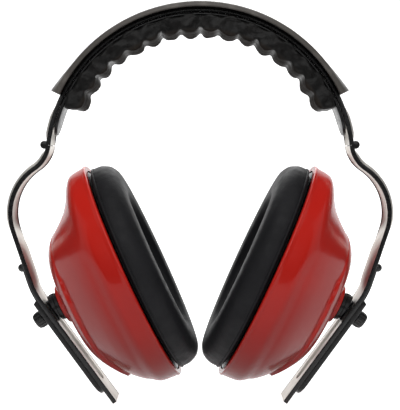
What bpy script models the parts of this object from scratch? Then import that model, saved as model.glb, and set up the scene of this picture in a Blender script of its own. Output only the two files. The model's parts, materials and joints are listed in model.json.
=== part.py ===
"""Over-the-head earmuff hearing protector, built from its separate pieces.

Frame: +Z up, X across the head, Y front to back. The origin is the middle of the head pad's
underside, where the crown of the head touches it. Every piece is symmetric about the plane
Y = 0, so the right side is the left side turned half a turn about Z.
Each side runs: steel arch - hinge - arm - sliding clamp - swivel barrel - cup.
"""

import math

import bmesh
import bpy
from mathutils import Matrix, Vector

MM = 0.001
GAP = 0.3 * MM                  # clearance between pieces that touch
ROUND = 16                      # facets of a small turned piece
WIDE_ROUND = 24                 # facets of a wide one
EDGE = 0.6 * MM                 # small bevel on turned pieces
CUT_REACH = 30.0 * MM           # how far a cutting shape runs past what it cuts

# Steel arch and what is laid on it
ARCH_RADIUS = 72.0 * MM         # to the middle of the steel
PAD_DEPTH = 11.0 * MM           # from the middle of the steel to the pad's underside
ARCH_CENTRE_Z = PAD_DEPTH - ARCH_RADIUS
STEEL_THICK = 2.0 * MM
STEEL_WIDTH = 15.0 * MM
ARCH_END = 83.1                 # degrees from the crown to the end of the steel
ARCH_STEP = 5.0                 # degrees between stations along the arch

BACKING_THICK = 1.5 * MM
BACKING_WIDTH = 16.0 * MM
BACKING_END = 79.0

PAD_WIDTH = 25.0 * MM
PAD_END = 69.0
PAD_ROUNDING = 9.0              # degrees over which each end of the pad thins out
PAD_END_SHARE = 0.35            # of the pad's thickness is left at its ends
PAD_EDGE_SHARE = 0.3            # of the pad's thickness is bevelled off its lower edges

COVER_WIDTH = 27.0 * MM
COVER_WALL = 1.4 * MM
COVER_LIP = 2.1 * MM            # height of the front and back lips
COVER_CROWN = 1.9 * MM          # rise of the crowned top over the lips
COVER_FLARE = 2.4 * MM          # further rise of the crown at each end
COVER_FLARE_SPAN = 14.0         # degrees over which the crown rises
COVER_END = 64.0
COVER_MID_SHARE = 0.75          # of the crown's rise is reached halfway across

# Hinge at each end of the arch
HINGE_OUT = 0.9 * MM            # pin centre beyond the outer face of the steel
KNUCKLE_RADIUS = 1.9 * MM
HINGE_PIN_RADIUS = 0.9 * MM
CENTRE_KNUCKLE = 5.0 * MM       # width of the arm's knuckle
HINGE_HALF_GAP = math.degrees(GAP / 2 / ARCH_RADIUS)  # the steels stop this short of the pin

# Arm: bends and straight runs from the hinge down, turns in degrees, inward positive
OUT_BEND = (15.2 * MM, -49.5)
BACK_BEND = (26.0 * MM, 74.5)
UPPER_RUN = 25.8 * MM
LOWER_BEND = (33.0 * MM, 17.6)
BEND_STEP = 7.0                 # degrees between stations in a bend

# Where the clamp sits on the tail, and the slot that it slides in
CLAMP_DOWN = 7.0 * MM           # from the start of the tail to the bolt at its highest
SLIDE_TRAVEL = 38.0 * MM
SLOT_WIDTH = 6.0 * MM
STEEL_BELOW_SLOT = 11.6 * MM
TAIL_RUN = CLAMP_DOWN + SLIDE_TRAVEL + SLOT_WIDTH / 2 + STEEL_BELOW_SLOT

# Rail on the outer face of the tail
RAIL_THICK = 2.8 * MM
RAIL_LIP_THICK = 0.8 * MM       # thin upper part, held by the rivet
RAIL_WIDTH = 13.0 * MM
RAIL_ABOVE_CLAMP = 8.2 * MM
RAIL_STEP = 0.4 * MM            # length over which the rail thickens
RAIL_TAIL_MARGIN = 6.4 * MM     # bare steel below the rail
RIVET_UP = 18.0 * MM            # rivet above the start of the tail, along the steel
RIVET_MARGIN = 3.0 * MM
RIVET_RADIUS = 1.2 * MM
RIVET_HEAD = 2.0 * MM
RIVET_DOME_FROM = -38.0         # degrees round the head's ball, from its foot to its flat top
RIVET_DOME_TO = 70.0
RIVET_DOME_STEPS = 6

# Clamp: shoe, eye bolt and knob
SHOE_SIDE = 11.0 * MM
SHOE_THICK = 0.5 * MM
SHOE_BUSH_RADIUS = SLOT_WIDTH / 2 - GAP
SHANK_RADIUS = 1.8 * MM
PIVOT_DEPTH = 4.8 * MM          # cross pin inside the middle of the steel
EYE_RADIUS = 2.3 * MM
EYE_THICK = 4.4 * MM
KNOB_RADIUS = 3.9 * MM
KNOB_LENGTH = 4.8 * MM
KNOB_INSERT_RADIUS = 3.0 * MM
KNOB_FACE = 1.2 * MM            # plastic left over the insert

# Swivel barrel between clamp and cup
BARREL_RADIUS = 7.2 * MM
CUP_TILT = 6.0                  # degrees that the barrel can tilt under the shoe
BARREL_CLEAR = GAP + BARREL_RADIUS * math.sin(math.radians(CUP_TILT))
BARREL_BLANK = 6.0 * MM         # barrel above its pin, before its end is cut along the shoe
CROSS_PIN_RADIUS = 0.9 * MM
PIN_CLEAR = 0.25 * MM
SPIGOT_RADIUS = 5.2 * MM
STUD_RADIUS = 2.8 * MM
CAP_RADIUS = 6.0 * MM
CAP_THICK = 1.5 * MM
SCREW_RADIUS = 1.5 * MM
SCREW_HEAD_RADIUS = 3.0 * MM
SCREW_HEAD_THICK = 1.5 * MM
SCREW_BELOW_EYE = 1.2 * MM

# Cup, in its own frame: +X up along the cup, +Z out through its dome
CUP_LEAN = 24.6                 # degrees of the cup's face from upright
CUP_RISE = 1.0 * MM             # middle of the cup's face above the swivel
CUP_FACETS = 32
WALL = 2.4 * MM
CUP_DEPTH = 35.6 * MM           # from the open face to the top of the dome
CUP_HALF_LENGTH = 54.7 * MM
CUP_HALF_WIDTH = 42.0 * MM
BOSS_RADIUS = 9.4 * MM
BOSS_HEIGHT = 2.7 * MM
PIN_ABOVE_BOSS = 1.6 * MM
FLANGE_DEPTH = CUP_DEPTH + BOSS_HEIGHT + PIN_ABOVE_BOSS  # from the cross pin to the open face
# dome from face to top, as shares: height, reach up, reach down, half width
DOME_SHARES = [
    (0.0, 1.0, 1.0, 1.0),
    (0.084, 0.995, 1.0, 0.995),
    (0.253, 0.976, 0.993, 0.976),
    (0.337, 0.921, 0.982, 0.957),
    (0.438, 0.804, 0.954, 0.919),
    (0.52, 0.731, 0.918, 0.871),
    (0.632, 0.662, 0.852, 0.786),
    (0.815, 0.563, 0.709, 0.619),
    (0.916, 0.483, 0.603, 0.51),
    (0.972, 0.402, 0.505, 0.419),
    (1.0, 0.322, 0.395, 0.319),
]
DOME = [
    (h * CUP_DEPTH, up * CUP_HALF_LENGTH, down * CUP_HALF_LENGTH, wide * CUP_HALF_WIDTH)
    for h, up, down, wide in DOME_SHARES
]

SEAL_PLATE_THICK = 2.0 * MM
OPENING_HALF_LENGTH = 31.0 * MM
OPENING_HALF_WIDTH = 19.0 * MM
CUSHION_THICK = 14.6 * MM
CUSHION_LENGTH_INSET = 4.9 * MM  # cushion inside the cup's rim, above and below
CUSHION_WIDTH_INSET = 3.8 * MM   # and at the front and back
CUSHION_HALF_LENGTH = CUP_HALF_LENGTH - CUSHION_LENGTH_INSET
CUSHION_HALF_WIDTH = CUP_HALF_WIDTH - CUSHION_WIDTH_INSET
CUSHION_GAP = 1.1 * MM          # between the two cushions at rest
CUSHION_FACE_ROUND = 8.5 * MM
CUSHION_BACK_ROUND = 2.0 * MM
CUSHION_HOLE_ROUND = 5.0 * MM
FOAM_FROM = 13.0 * MM           # face of the sound foam above the cup's face
FOAM_ROOM = 4.6 * MM            # between the foam and the swivel screw's head
FOAM_INSET = WALL + 1.0 * MM
LINER_THICK = 3.0 * MM

# Levels on the cup's axis, from the cross pin: the dome's top outside and inside, cap and screw
DOME_TOP = CUP_DEPTH - FLANGE_DEPTH
STUD_END = DOME_TOP - WALL - GAP
CAP_TOP = STUD_END - GAP
SCREW_HEAD_TOP = CAP_TOP - CAP_THICK - GAP
SCREW_HEAD_END = SCREW_HEAD_TOP - SCREW_HEAD_THICK

COLOURS = {
    "steel": ((0.62, 0.60, 0.57), 0.22, 1.0),
    "black": ((0.016, 0.016, 0.018), 0.38, 0.0),
    "cover": ((0.035, 0.032, 0.030), 0.50, 0.0),
    "pad": ((0.014, 0.013, 0.013), 0.55, 0.0),
    "red": ((0.56, 0.025, 0.015), 0.16, 0.0),
    "cushion": ((0.018, 0.018, 0.020), 0.48, 0.0),
    "foam": ((0.030, 0.030, 0.032), 0.95, 0.0),
}


# ---------------------------------------------------------------- scene and materials

def clear_scene():
    for obj in list(bpy.data.objects):
        bpy.data.objects.remove(obj, do_unlink=True)


def make_materials():
    made = {}
    for name, (colour, rough, metal) in COLOURS.items():
        mat = bpy.data.materials.new(name)
        mat.use_nodes = True
        shader = mat.node_tree.nodes["Principled BSDF"]
        shader.inputs["Base Color"].default_value = (*colour, 1.0)
        shader.inputs["Roughness"].default_value = rough
        shader.inputs["Metallic"].default_value = metal
        made[name] = mat
    return made


def frame(x, z, turn_deg=0.0):
    """A frame in the left side's XZ plane, turned about Y."""
    return Matrix.Translation((x, 0.0, z)) @ Matrix.Rotation(math.radians(turn_deg), 4, "Y")


def add_empty(name, matrix, parent=None, parent_matrix=None):
    empty = bpy.data.objects.new(name, None)
    empty.empty_display_size = 0.01
    bpy.context.scene.collection.objects.link(empty)
    empty.parent = parent
    base = parent_matrix.inverted() if parent_matrix is not None else Matrix()
    empty.matrix_local = base @ matrix
    return empty


def add_object(name, bm, parent=None, material=None):
    """Put a finished shape in the scene under its parent, in the parent's own frame."""
    bmesh.ops.recalc_face_normals(bm, faces=bm.faces)
    mesh = bpy.data.meshes.new(name)
    bm.to_mesh(mesh)
    bm.free()
    mesh.shade_smooth()
    mesh.set_sharp_from_angle(angle=math.radians(35))
    obj = bpy.data.objects.new(name, mesh)
    bpy.context.scene.collection.objects.link(obj)
    obj.parent = parent
    if material is not None:
        mesh.materials.append(material)
    return obj


def boolean(target, tool, operation="DIFFERENCE"):
    """Cut or join a hidden tool shape; the tool sits in the same parent frame."""
    tool.hide_render = True
    tool.display_type = "WIRE"
    tool.hide_set(True)
    mod = target.modifiers.new(tool.name, "BOOLEAN")
    mod.operation = operation
    mod.solver = "EXACT"
    mod.object = tool


# ---------------------------------------------------------------- shape builders

def skin(bm, rings, closed=False):
    """Bridge rings of points in order; cap both ends unless the rings close on themselves."""
    made = [[bm.verts.new(p) for p in ring] for ring in rings]
    count = len(made[0])
    pairs = list(zip(made, made[1:]))
    if closed:
        pairs.append((made[-1], made[0]))
    for low, high in pairs:
        for i in range(count):
            j = (i + 1) % count
            bm.faces.new((low[i], low[j], high[j], high[i]))
    if not closed:
        bm.faces.new(made[0])
        bm.faces.new(made[-1])
    return bm


def sweep(stations, section_at):
    """Sweep a section along stations of (point, outward) in the XZ plane.

    section_at(i) gives the section at station i as (outward offset, y) points.
    """
    rings = []
    for i, (point, out) in enumerate(stations):
        rings.append([
            (point.x + out.x * r, y, point.y + out.y * r) for r, y in section_at(i)
        ])
    return skin(bmesh.new(), rings)


def strip_section(inner, outer, width):
    half = width / 2
    return [(inner, -half), (outer, -half), (outer, half), (inner, half)]


def turned(profile, facets=ROUND, closed=False):
    """Turn (radius, z) points about Z. Open ends are capped flat unless the profile closes."""
    rings = []
    for radius, z in profile:
        turns = (2 * math.pi * i / facets for i in range(facets))
        rings.append([(radius * math.cos(a), radius * math.sin(a), z) for a in turns])
    return skin(bmesh.new(), rings, closed)


def washer(inner, outer, low, high):
    """A flat ring about Z."""
    return turned([(inner, low), (outer, low), (outer, high), (inner, high)], closed=True)


def rod(radius, half_length, x=0.0, z=0.0, facets=ROUND):
    """A rod along Y, centred on (x, z)."""
    rings = []
    for y in (-half_length, half_length):
        turns = (2 * math.pi * i / facets for i in range(facets))
        rings.append([(x + radius * math.cos(a), y, z + radius * math.sin(a)) for a in turns])
    return skin(bmesh.new(), rings)


def block(low, high):
    bm = bmesh.new()
    size = Vector(high) - Vector(low)
    middle = (Vector(high) + Vector(low)) / 2
    bmesh.ops.create_cube(bm, size=1.0, matrix=Matrix.Translation(middle) @ Matrix.Diagonal((*size, 1)))
    return bm


def stadium(half_run, radius, low, high, x=0.0, facets=8):
    """A bar with round ends: flat outline along X, extruded in Z."""
    outline = []
    for sign in (1, -1):
        for i in range(facets + 1):
            a = math.radians(-90 + 180 * i / facets)
            outline.append((x + sign * (half_run + radius * math.cos(a)), sign * radius * math.sin(a)))
    return skin(bmesh.new(), [[(px, py, z) for px, py in outline] for z in (low, high)])


def oval(up, down, wide, z, facets=CUP_FACETS):
    """A ring with a different reach up (+X) and down (-X), at height z."""
    ring = []
    for i in range(facets):
        a = 2 * math.pi * i / facets
        reach = up if math.cos(a) > 0 else down
        ring.append((CUP_RISE + reach * math.cos(a), wide * math.sin(a), z))
    return ring


# ---------------------------------------------------------------- paths

def arch_stations(end_deg):
    """Stations round the arch from the left end to the right, and their angles."""
    count = max(2, round(2 * end_deg / ARCH_STEP))
    stations = []
    angles = []
    for i in range(count + 1):
        angle = -end_deg + 2 * end_deg * i / count
        out = Vector((math.sin(math.radians(angle)), math.cos(math.radians(angle))))
        point = out * ARCH_RADIUS + Vector((0.0, ARCH_CENTRE_Z))
        stations.append((point, out))
        angles.append(angle)
    return stations, angles


def down_heading(heading):
    """Direction of travel for a heading in degrees from straight down, inward positive."""
    a = math.radians(heading)
    return Vector((math.sin(a), -math.cos(a)))


def outward(heading):
    """Outer side of the steel at a heading, on the left side."""
    a = math.radians(heading)
    return Vector((-math.cos(a), -math.sin(a)))


def lay_run(stations, length):
    point, heading = stations[-1]
    stations.append((point + down_heading(heading) * length, heading))


def lay_bend(stations, radius, turn):
    point, heading = stations[-1]
    sign = math.copysign(1.0, turn)
    centre = point - outward(heading) * radius * sign
    steps = math.ceil(abs(turn) / BEND_STEP)
    for i in range(1, steps + 1):
        now = heading + turn * i / steps
        stations.append((centre + outward(now) * radius * sign, now))


def hinge_point():
    """Centre of the left hinge pin."""
    a = math.radians(-ARCH_END - HINGE_HALF_GAP)
    reach = ARCH_RADIUS + STEEL_THICK / 2 + HINGE_OUT
    return Vector((math.sin(a) * reach, ARCH_CENTRE_Z + math.cos(a) * reach))


def arm_stations():
    """Stations of (point, heading) down the left arm's steel, and the index where the tail starts."""
    start_angle = math.radians(-ARCH_END - 2 * HINGE_HALF_GAP)
    out = Vector((math.sin(start_angle), math.cos(start_angle)))
    start = out * ARCH_RADIUS + Vector((0.0, ARCH_CENTRE_Z))
    heading = -(90.0 - ARCH_END - 2 * HINGE_HALF_GAP)
    stations = [(start, heading)]
    lay_bend(stations, *OUT_BEND)
    lay_bend(stations, *BACK_BEND)
    lay_run(stations, UPPER_RUN)
    lay_bend(stations, *LOWER_BEND)
    tail = len(stations) - 1
    lay_run(stations, TAIL_RUN)
    return stations, tail


def cut_back(stations, tail, distance):
    """The stretch of the arm from a distance above the tail's start, down to the tail's start."""
    kept = [stations[tail]]
    left = distance
    for i in range(tail, 0, -1):
        (low, low_h), (high, high_h) = stations[i], stations[i - 1]
        span = (high - low).length
        if span >= left:
            share = left / span
            kept.append((low.lerp(high, share), low_h + (high_h - low_h) * share))
            break
        kept.append(stations[i - 1])
        left -= span
    return kept[::-1]


def as_sweep(stations, origin):
    return [(point - origin, outward(heading)) for point, heading in stations]


def dome_at(height):
    """Reach up, reach down and half width of the dome's outside at a height above its face."""
    height = max(0.0, min(height, DOME[-1][0]))
    for low, high in zip(DOME, DOME[1:]):
        if height <= high[0]:
            t = (height - low[0]) / (high[0] - low[0])
            return tuple(a + (b - a) * t for a, b in zip(low[1:], high[1:]))
    return DOME[-1][1:]


# ---------------------------------------------------------------- headband

def build_headband(mats):
    steel, _ = arch_stations(ARCH_END)
    half = STEEL_THICK / 2
    arch = add_object(
        "band_spring", sweep(steel, lambda i: strip_section(-half, half, STEEL_WIDTH)),
        material=mats["steel"])
    pin = hinge_point()
    for side, sign in (("left", 1), ("right", -1)):
        x, z = pin.x * sign, pin.y
        ears = add_object(f"cut_{side}_ears", rod(KNUCKLE_RADIUS, STEEL_WIDTH / 2, x, z))
        room = CENTRE_KNUCKLE / 2 + GAP
        middle = add_object(f"cut_{side}_middle", rod(KNUCKLE_RADIUS + GAP, room, x, z))
        hole = add_object(
            f"cut_{side}_hole", rod(HINGE_PIN_RADIUS + PIN_CLEAR, STEEL_WIDTH, x, z))
        boolean(arch, ears, "UNION")
        boolean(arch, middle)
        boolean(arch, hole)

    back, _ = arch_stations(BACKING_END)
    top = -half - GAP
    add_object(
        "pad_backing",
        sweep(back, lambda i: strip_section(top - BACKING_THICK, top, BACKING_WIDTH)),
        material=mats["black"])
    build_pad(mats, top - BACKING_THICK - GAP)
    build_cover(mats, half + GAP)


def build_pad(mats, top):
    """Soft pad: its underside touches the crown at the origin, and both ends thin out."""
    stations, angles = arch_stations(PAD_END)
    bottom = -PAD_DEPTH

    def section(i):
        end = (PAD_END - abs(angles[i])) / PAD_ROUNDING
        full = math.sqrt(max(0.0, 1 - (1 - min(1.0, end)) ** 2))
        low = top + (bottom - top) * (PAD_END_SHARE + (1 - PAD_END_SHARE) * full)
        edge = (top - low) * PAD_EDGE_SHARE
        half = PAD_WIDTH / 2
        return [
            (low, -half + edge), (low + edge, -half), (top, -half),
            (top, half), (low + edge, half), (low, half - edge),
        ]

    add_object("head_pad", sweep(stations, section), material=mats["pad"])


def build_cover(mats, inside):
    """Moulded cover: a channel over the steel, crowned on top, its crown rising at both ends."""
    stations, angles = arch_stations(COVER_END)
    half = COVER_WIDTH / 2
    lip = inside + COVER_WALL - COVER_LIP

    def section(i):
        near = max(0.0, abs(angles[i]) - (COVER_END - COVER_FLARE_SPAN)) / COVER_FLARE_SPAN
        crown = COVER_CROWN + COVER_FLARE * near
        shoulder = inside + COVER_WALL
        middle = shoulder + crown * COVER_MID_SHARE
        hollow = half - COVER_WALL
        return [
            (lip, -half), (shoulder, -half), (middle, -half / 2),
            (shoulder + crown, 0.0), (middle, half / 2),
            (shoulder, half), (lip, half), (lip, hollow), (inside, hollow),
            (inside, -hollow), (lip, -hollow),
        ]

    add_object("band_cover", sweep(stations, section), material=mats["cover"])


# ---------------------------------------------------------------- arm

def slot_cutter():
    """The slot, from the clamp at its highest down the travel."""
    middle = -SLIDE_TRAVEL / 2
    return stadium(SLIDE_TRAVEL / 2, SLOT_WIDTH / 2, -CUT_REACH, CUT_REACH, middle)


def build_arm(side, mats, pivot, carriage):
    stations, tail = arm_stations()
    pin = hinge_point()
    half = STEEL_THICK / 2
    arm = add_object(
        f"{side}_arm",
        sweep(as_sweep(stations, pin), lambda i: strip_section(-half, half, STEEL_WIDTH)),
        pivot, mats["steel"])
    knuckle = add_object(
        f"cut_{side}_arm_knuckle", rod(KNUCKLE_RADIUS, CENTRE_KNUCKLE / 2), pivot)
    bore = add_object(
        f"cut_{side}_arm_bore", rod(HINGE_PIN_RADIUS + PIN_CLEAR, STEEL_WIDTH), pivot)
    for name, sign in (("front", -1), ("back", 1)):
        near = CENTRE_KNUCKLE / 2
        shape = rod(KNUCKLE_RADIUS + GAP, STEEL_WIDTH / 2)
        bmesh.ops.translate(shape, verts=shape.verts, vec=(0, sign * (near + STEEL_WIDTH / 2), 0))
        boolean(arm, add_object(f"cut_{side}_arm_{name}", shape, pivot))
    boolean(arm, knuckle, "UNION")
    boolean(arm, bore)
    add_object(
        f"{side}_hinge_pin", rod(HINGE_PIN_RADIUS, STEEL_WIDTH / 2), pivot, mats["black"])

    boolean(arm, add_object(f"cut_{side}_slot", slot_cutter(), carriage))

    build_rail(side, mats, pivot, carriage, arm, stations, tail, pin)


def build_rail(side, mats, pivot, carriage, arm, stations, tail, pin):
    """Plastic rail on the outer face: thin where the rivet holds it, thick along the slot."""
    base = STEEL_THICK / 2 + GAP
    upper = cut_back(stations, tail, RIVET_UP + RIVET_MARGIN)
    end_point, heading = stations[-1]
    tail_start = stations[tail][0]
    clamp = tail_start + down_heading(heading) * CLAMP_DOWN
    thick_from = cut_back(stations, tail, RAIL_ABOVE_CLAMP - CLAMP_DOWN)
    thick_count = len(thick_from)
    lower = [(end_point - down_heading(heading) * RAIL_TAIL_MARGIN, heading)]
    thin = [s for s in upper if (s[0] - clamp).length > RAIL_ABOVE_CLAMP + RAIL_STEP]
    path = thin + thick_from + lower
    first_thick = len(path) - thick_count - 1

    def section(i):
        thick = RAIL_THICK if i >= first_thick else RAIL_LIP_THICK
        return strip_section(base, base + thick, RAIL_WIDTH)

    rail = add_object(
        f"{side}_slide_rail", sweep(as_sweep(path, pin), section), pivot, mats["black"])
    boolean(rail, add_object(f"cut_{side}_rail_slot", slot_cutter(), carriage))

    at, at_heading = cut_back(stations, tail, RIVET_UP)[0]
    place = frame(at.x - pin.x, at.y - pin.y, -(90 + at_heading))
    low = -STEEL_THICK / 2 - GAP
    high = base + RAIL_LIP_THICK + GAP
    profile = [(RIVET_HEAD, low - EDGE), (RIVET_HEAD, low), (RIVET_RADIUS, low), (RIVET_RADIUS, high)]
    for i in range(RIVET_DOME_STEPS + 1):
        a = math.radians(RIVET_DOME_FROM + (RIVET_DOME_TO - RIVET_DOME_FROM) * i / RIVET_DOME_STEPS)
        rise = math.sin(a) - math.sin(math.radians(RIVET_DOME_FROM))
        profile.append((RIVET_HEAD * math.cos(a), high + RIVET_HEAD * rise))
    rivet = add_object(f"{side}_rail_rivet", turned(profile), pivot, mats["black"])
    rivet.matrix_local = place
    for target in (arm, rail):
        hole = turned([(RIVET_RADIUS + GAP, -CUT_REACH), (RIVET_RADIUS + GAP, CUT_REACH)])
        tool = add_object(f"cut_{target.name}_rivet", hole, pivot)
        tool.matrix_local = place
        boolean(target, tool)


# ---------------------------------------------------------------- clamp and swivel

def build_clamp(side, mats, carriage, knob_frame):
    """Pieces in the clamp's frame: origin in the middle of the steel, +Z outward, +X up the tail."""
    inner = -STEEL_THICK / 2 - GAP
    rail_top = STEEL_THICK / 2 + GAP + RAIL_THICK + GAP
    half = SHOE_SIDE / 2
    shoe = add_object(
        f"{side}_slide_shoe", block((-half, -half, inner - SHOE_THICK), (half, half, inner)),
        carriage, mats["black"])
    bush = turned([(SHOE_BUSH_RADIUS, inner - SHOE_THICK / 2), (SHOE_BUSH_RADIUS, STEEL_THICK / 2)])
    boolean(shoe, add_object(f"cut_{side}_shoe_bush", bush, carriage), "UNION")
    hole_radius = SHANK_RADIUS + GAP
    hole = turned([(hole_radius, -CUT_REACH), (hole_radius, CUT_REACH)])
    boolean(shoe, add_object(f"cut_{side}_shoe_hole", hole, carriage))

    knob_end = rail_top + KNOB_LENGTH - KNOB_FACE
    bolt = add_object(
        f"{side}_eye_bolt", turned([(SHANK_RADIUS, -PIVOT_DEPTH), (SHANK_RADIUS, knob_end)]),
        carriage, mats["steel"])
    eye = rod(EYE_RADIUS, EYE_THICK / 2, 0.0, -PIVOT_DEPTH)
    boolean(bolt, add_object(f"cut_{side}_eye", eye, carriage), "UNION")
    bore = rod(CROSS_PIN_RADIUS + PIN_CLEAR, EYE_THICK, 0.0, -PIVOT_DEPTH)
    boolean(bolt, add_object(f"cut_{side}_eye_bore", bore, carriage))

    top = rail_top + KNOB_LENGTH
    knob = add_object(
        f"{side}_clamp_knob",
        turned([
            (KNOB_RADIUS - EDGE, rail_top), (KNOB_RADIUS, rail_top + EDGE),
            (KNOB_RADIUS, top - EDGE), (KNOB_RADIUS - EDGE, top),
        ], WIDE_ROUND), knob_frame, mats["black"])
    pocket = KNOB_INSERT_RADIUS + GAP / 2
    room = turned([(pocket, rail_top - EDGE), (pocket, knob_end + GAP)])
    boolean(knob, add_object(f"cut_{side}_knob_pocket", room, knob_frame))
    add_object(
        f"{side}_knob_insert",
        washer(SHANK_RADIUS + GAP, KNOB_INSERT_RADIUS - GAP / 2, rail_top, knob_end),
        knob_frame, mats["steel"])


def build_swivel(side, mats, swivel, carriage):
    """Barrel on the cross pin; its stud carries the cup. Origin on the pin, +Z out of the cup."""
    barrel_low = GAP - PIN_ABOVE_BOSS
    spigot_low = DOME_TOP + GAP
    barrel = add_object(
        f"{side}_pivot_barrel",
        turned([
            (STUD_RADIUS, STUD_END), (STUD_RADIUS, spigot_low), (SPIGOT_RADIUS, spigot_low),
            (SPIGOT_RADIUS, barrel_low), (BARREL_RADIUS, barrel_low), (BARREL_RADIUS, BARREL_BLANK),
        ], WIDE_ROUND), swivel, mats["black"])
    reach = BARREL_RADIUS * 2
    shoe_face = -STEEL_THICK / 2 - GAP - SHOE_THICK
    beyond = block((-reach, -reach, shoe_face - BARREL_CLEAR), (reach, reach, CUT_REACH))
    boolean(barrel, add_object(f"cut_{side}_barrel_end", beyond, carriage))
    slot_half = EYE_THICK / 2 + GAP
    slot = block((-reach, -slot_half, -EYE_RADIUS - GAP), (reach, slot_half, CUT_REACH))
    boolean(barrel, add_object(f"cut_{side}_barrel_slot", slot, swivel))
    bore = rod(CROSS_PIN_RADIUS + PIN_CLEAR, reach)
    boolean(barrel, add_object(f"cut_{side}_barrel_bore", bore, swivel))
    screw_top = -EYE_RADIUS - GAP - SCREW_BELOW_EYE
    hole = turned([(SCREW_RADIUS + GAP, -CUT_REACH), (SCREW_RADIUS + GAP, screw_top)])
    boolean(barrel, add_object(f"cut_{side}_stud_hole", hole, swivel))

    add_object(
        f"{side}_cross_pin", rod(CROSS_PIN_RADIUS, BARREL_RADIUS - EDGE),
        swivel, mats["steel"])
    add_object(
        f"{side}_swivel_cap",
        washer(SCREW_RADIUS + GAP, CAP_RADIUS, CAP_TOP - CAP_THICK, CAP_TOP),
        swivel, mats["black"])
    add_object(
        f"{side}_swivel_screw",
        turned([
            (SCREW_HEAD_RADIUS - EDGE, SCREW_HEAD_END), (SCREW_HEAD_RADIUS, SCREW_HEAD_END + EDGE),
            (SCREW_HEAD_RADIUS, SCREW_HEAD_TOP), (SCREW_RADIUS, SCREW_HEAD_TOP),
            (SCREW_RADIUS, screw_top - GAP),
        ]), swivel, mats["steel"])


# ---------------------------------------------------------------- cup

def build_cup(side, mats, cup):
    """Cup pieces: origin at the swivel, +Z out through the dome, +X up along the cup."""
    face = -FLANGE_DEPTH
    outer = [oval(up, down, wide, face + h) for h, up, down, wide in DOME]
    inner = [
        oval(up - WALL, down - WALL, wide - WALL, face + h - min(WALL, h / 4))
        for h, up, down, wide in DOME
    ]
    shell = add_object(
        f"{side}_cup_shell", skin(bmesh.new(), inner[::-1] + outer), cup, mats["red"])
    boss = turned(
        [(BOSS_RADIUS, DOME_TOP - WALL / 2), (BOSS_RADIUS, DOME_TOP + BOSS_HEIGHT)], WIDE_ROUND)
    boolean(shell, add_object(f"cut_{side}_boss", boss, cup), "UNION")
    pocket = SPIGOT_RADIUS + GAP
    well = turned([(pocket, DOME_TOP), (pocket, DOME_TOP + CUT_REACH)], WIDE_ROUND)
    boolean(shell, add_object(f"cut_{side}_boss_well", well, cup))
    room = STUD_RADIUS + GAP
    hole = turned([(room, DOME_TOP - WALL * 2), (room, DOME_TOP + CUT_REACH)])
    boolean(shell, add_object(f"cut_{side}_boss_hole", hole, cup))

    build_foam(side, mats, cup, face)
    build_seal(side, mats, cup, face)


def build_foam(side, mats, cup, face):
    """Sound foam and the thin liner over it, both shaped to the inside of the dome."""
    def slab(low, high):
        rings = []
        for h in (low, (low + high) / 2, high):
            up, down, wide = dome_at(h + FOAM_INSET)
            rings.append(oval(up - FOAM_INSET, down - FOAM_INSET, wide - FOAM_INSET, face + h))
        return skin(bmesh.new(), rings)

    foam_top = SCREW_HEAD_END - FOAM_ROOM - face
    add_object(f"{side}_sound_foam", slab(FOAM_FROM, foam_top), cup, mats["foam"])
    liner_top = FOAM_FROM - GAP
    add_object(f"{side}_foam_liner", slab(liner_top - LINER_THICK, liner_top), cup, mats["foam"])


def build_seal(side, mats, cup, face):
    """Flat seal plate inside the rim, and the soft ring cushion in front of it."""
    _, up, down, wide = DOME[0]
    inset = WALL + GAP
    low = face + GAP
    high = low + SEAL_PLATE_THICK
    hole = (OPENING_HALF_LENGTH, OPENING_HALF_LENGTH, OPENING_HALF_WIDTH)
    rim = (up - inset - GAP, down - inset - GAP, wide - inset - GAP)
    rings = [oval(*hole, low), oval(*rim, low), oval(*rim, high), oval(*hole, high)]
    add_object(f"{side}_seal_plate", skin(bmesh.new(), rings, closed=True), cup, mats["black"])

    add_object(f"{side}_ear_cushion", cushion_shape(face), cup, mats["cushion"])


def quarter(inset, z, radius, turns):
    """Points round a corner of the cushion's section, as (inset from the outer edge, z)."""
    points = []
    for degrees in turns:
        a = math.radians(degrees)
        points.append((inset + radius * math.cos(a), z + radius * math.sin(a)))
    return points


def cushion_profile(face):
    """The ring cushion's section, as (inset from its outer edge, z), once round."""
    ring_width = CUSHION_HALF_LENGTH - OPENING_HALF_LENGTH
    front = face - CUSHION_THICK
    back = CUSHION_BACK_ROUND
    outer = CUSHION_FACE_ROUND
    hole = CUSHION_HOLE_ROUND
    profile = quarter(back, face - back, back, (90, 180))
    profile += quarter(outer, front + outer, outer, (180, 210, 240, 270))
    profile += quarter(ring_width - hole, front + hole, hole, (270, 315, 360))
    profile += quarter(ring_width - back, face - back, back, (0, 90))
    return profile


def cushion_shape(face):
    """Ring cushion: rounded outer edge, small rounding at the back, soft edge round the ear hole."""
    ring_width = CUSHION_HALF_LENGTH - OPENING_HALF_LENGTH
    width_share = (CUSHION_HALF_WIDTH - OPENING_HALF_WIDTH) / ring_width
    rings = []
    for inset, z in cushion_profile(face):
        long = CUSHION_HALF_LENGTH - inset
        rings.append(oval(long, long, CUSHION_HALF_WIDTH - inset * width_share, z))
    return skin(bmesh.new(), rings, closed=True)


# ---------------------------------------------------------------- assembly

def clamp_place():
    """Left clamp's frame at its highest, with the arm closed."""
    stations, tail = arm_stations()
    start, heading = stations[tail]
    at = start + down_heading(heading) * CLAMP_DOWN
    return frame(at.x, at.y, -(90 + heading))


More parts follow.
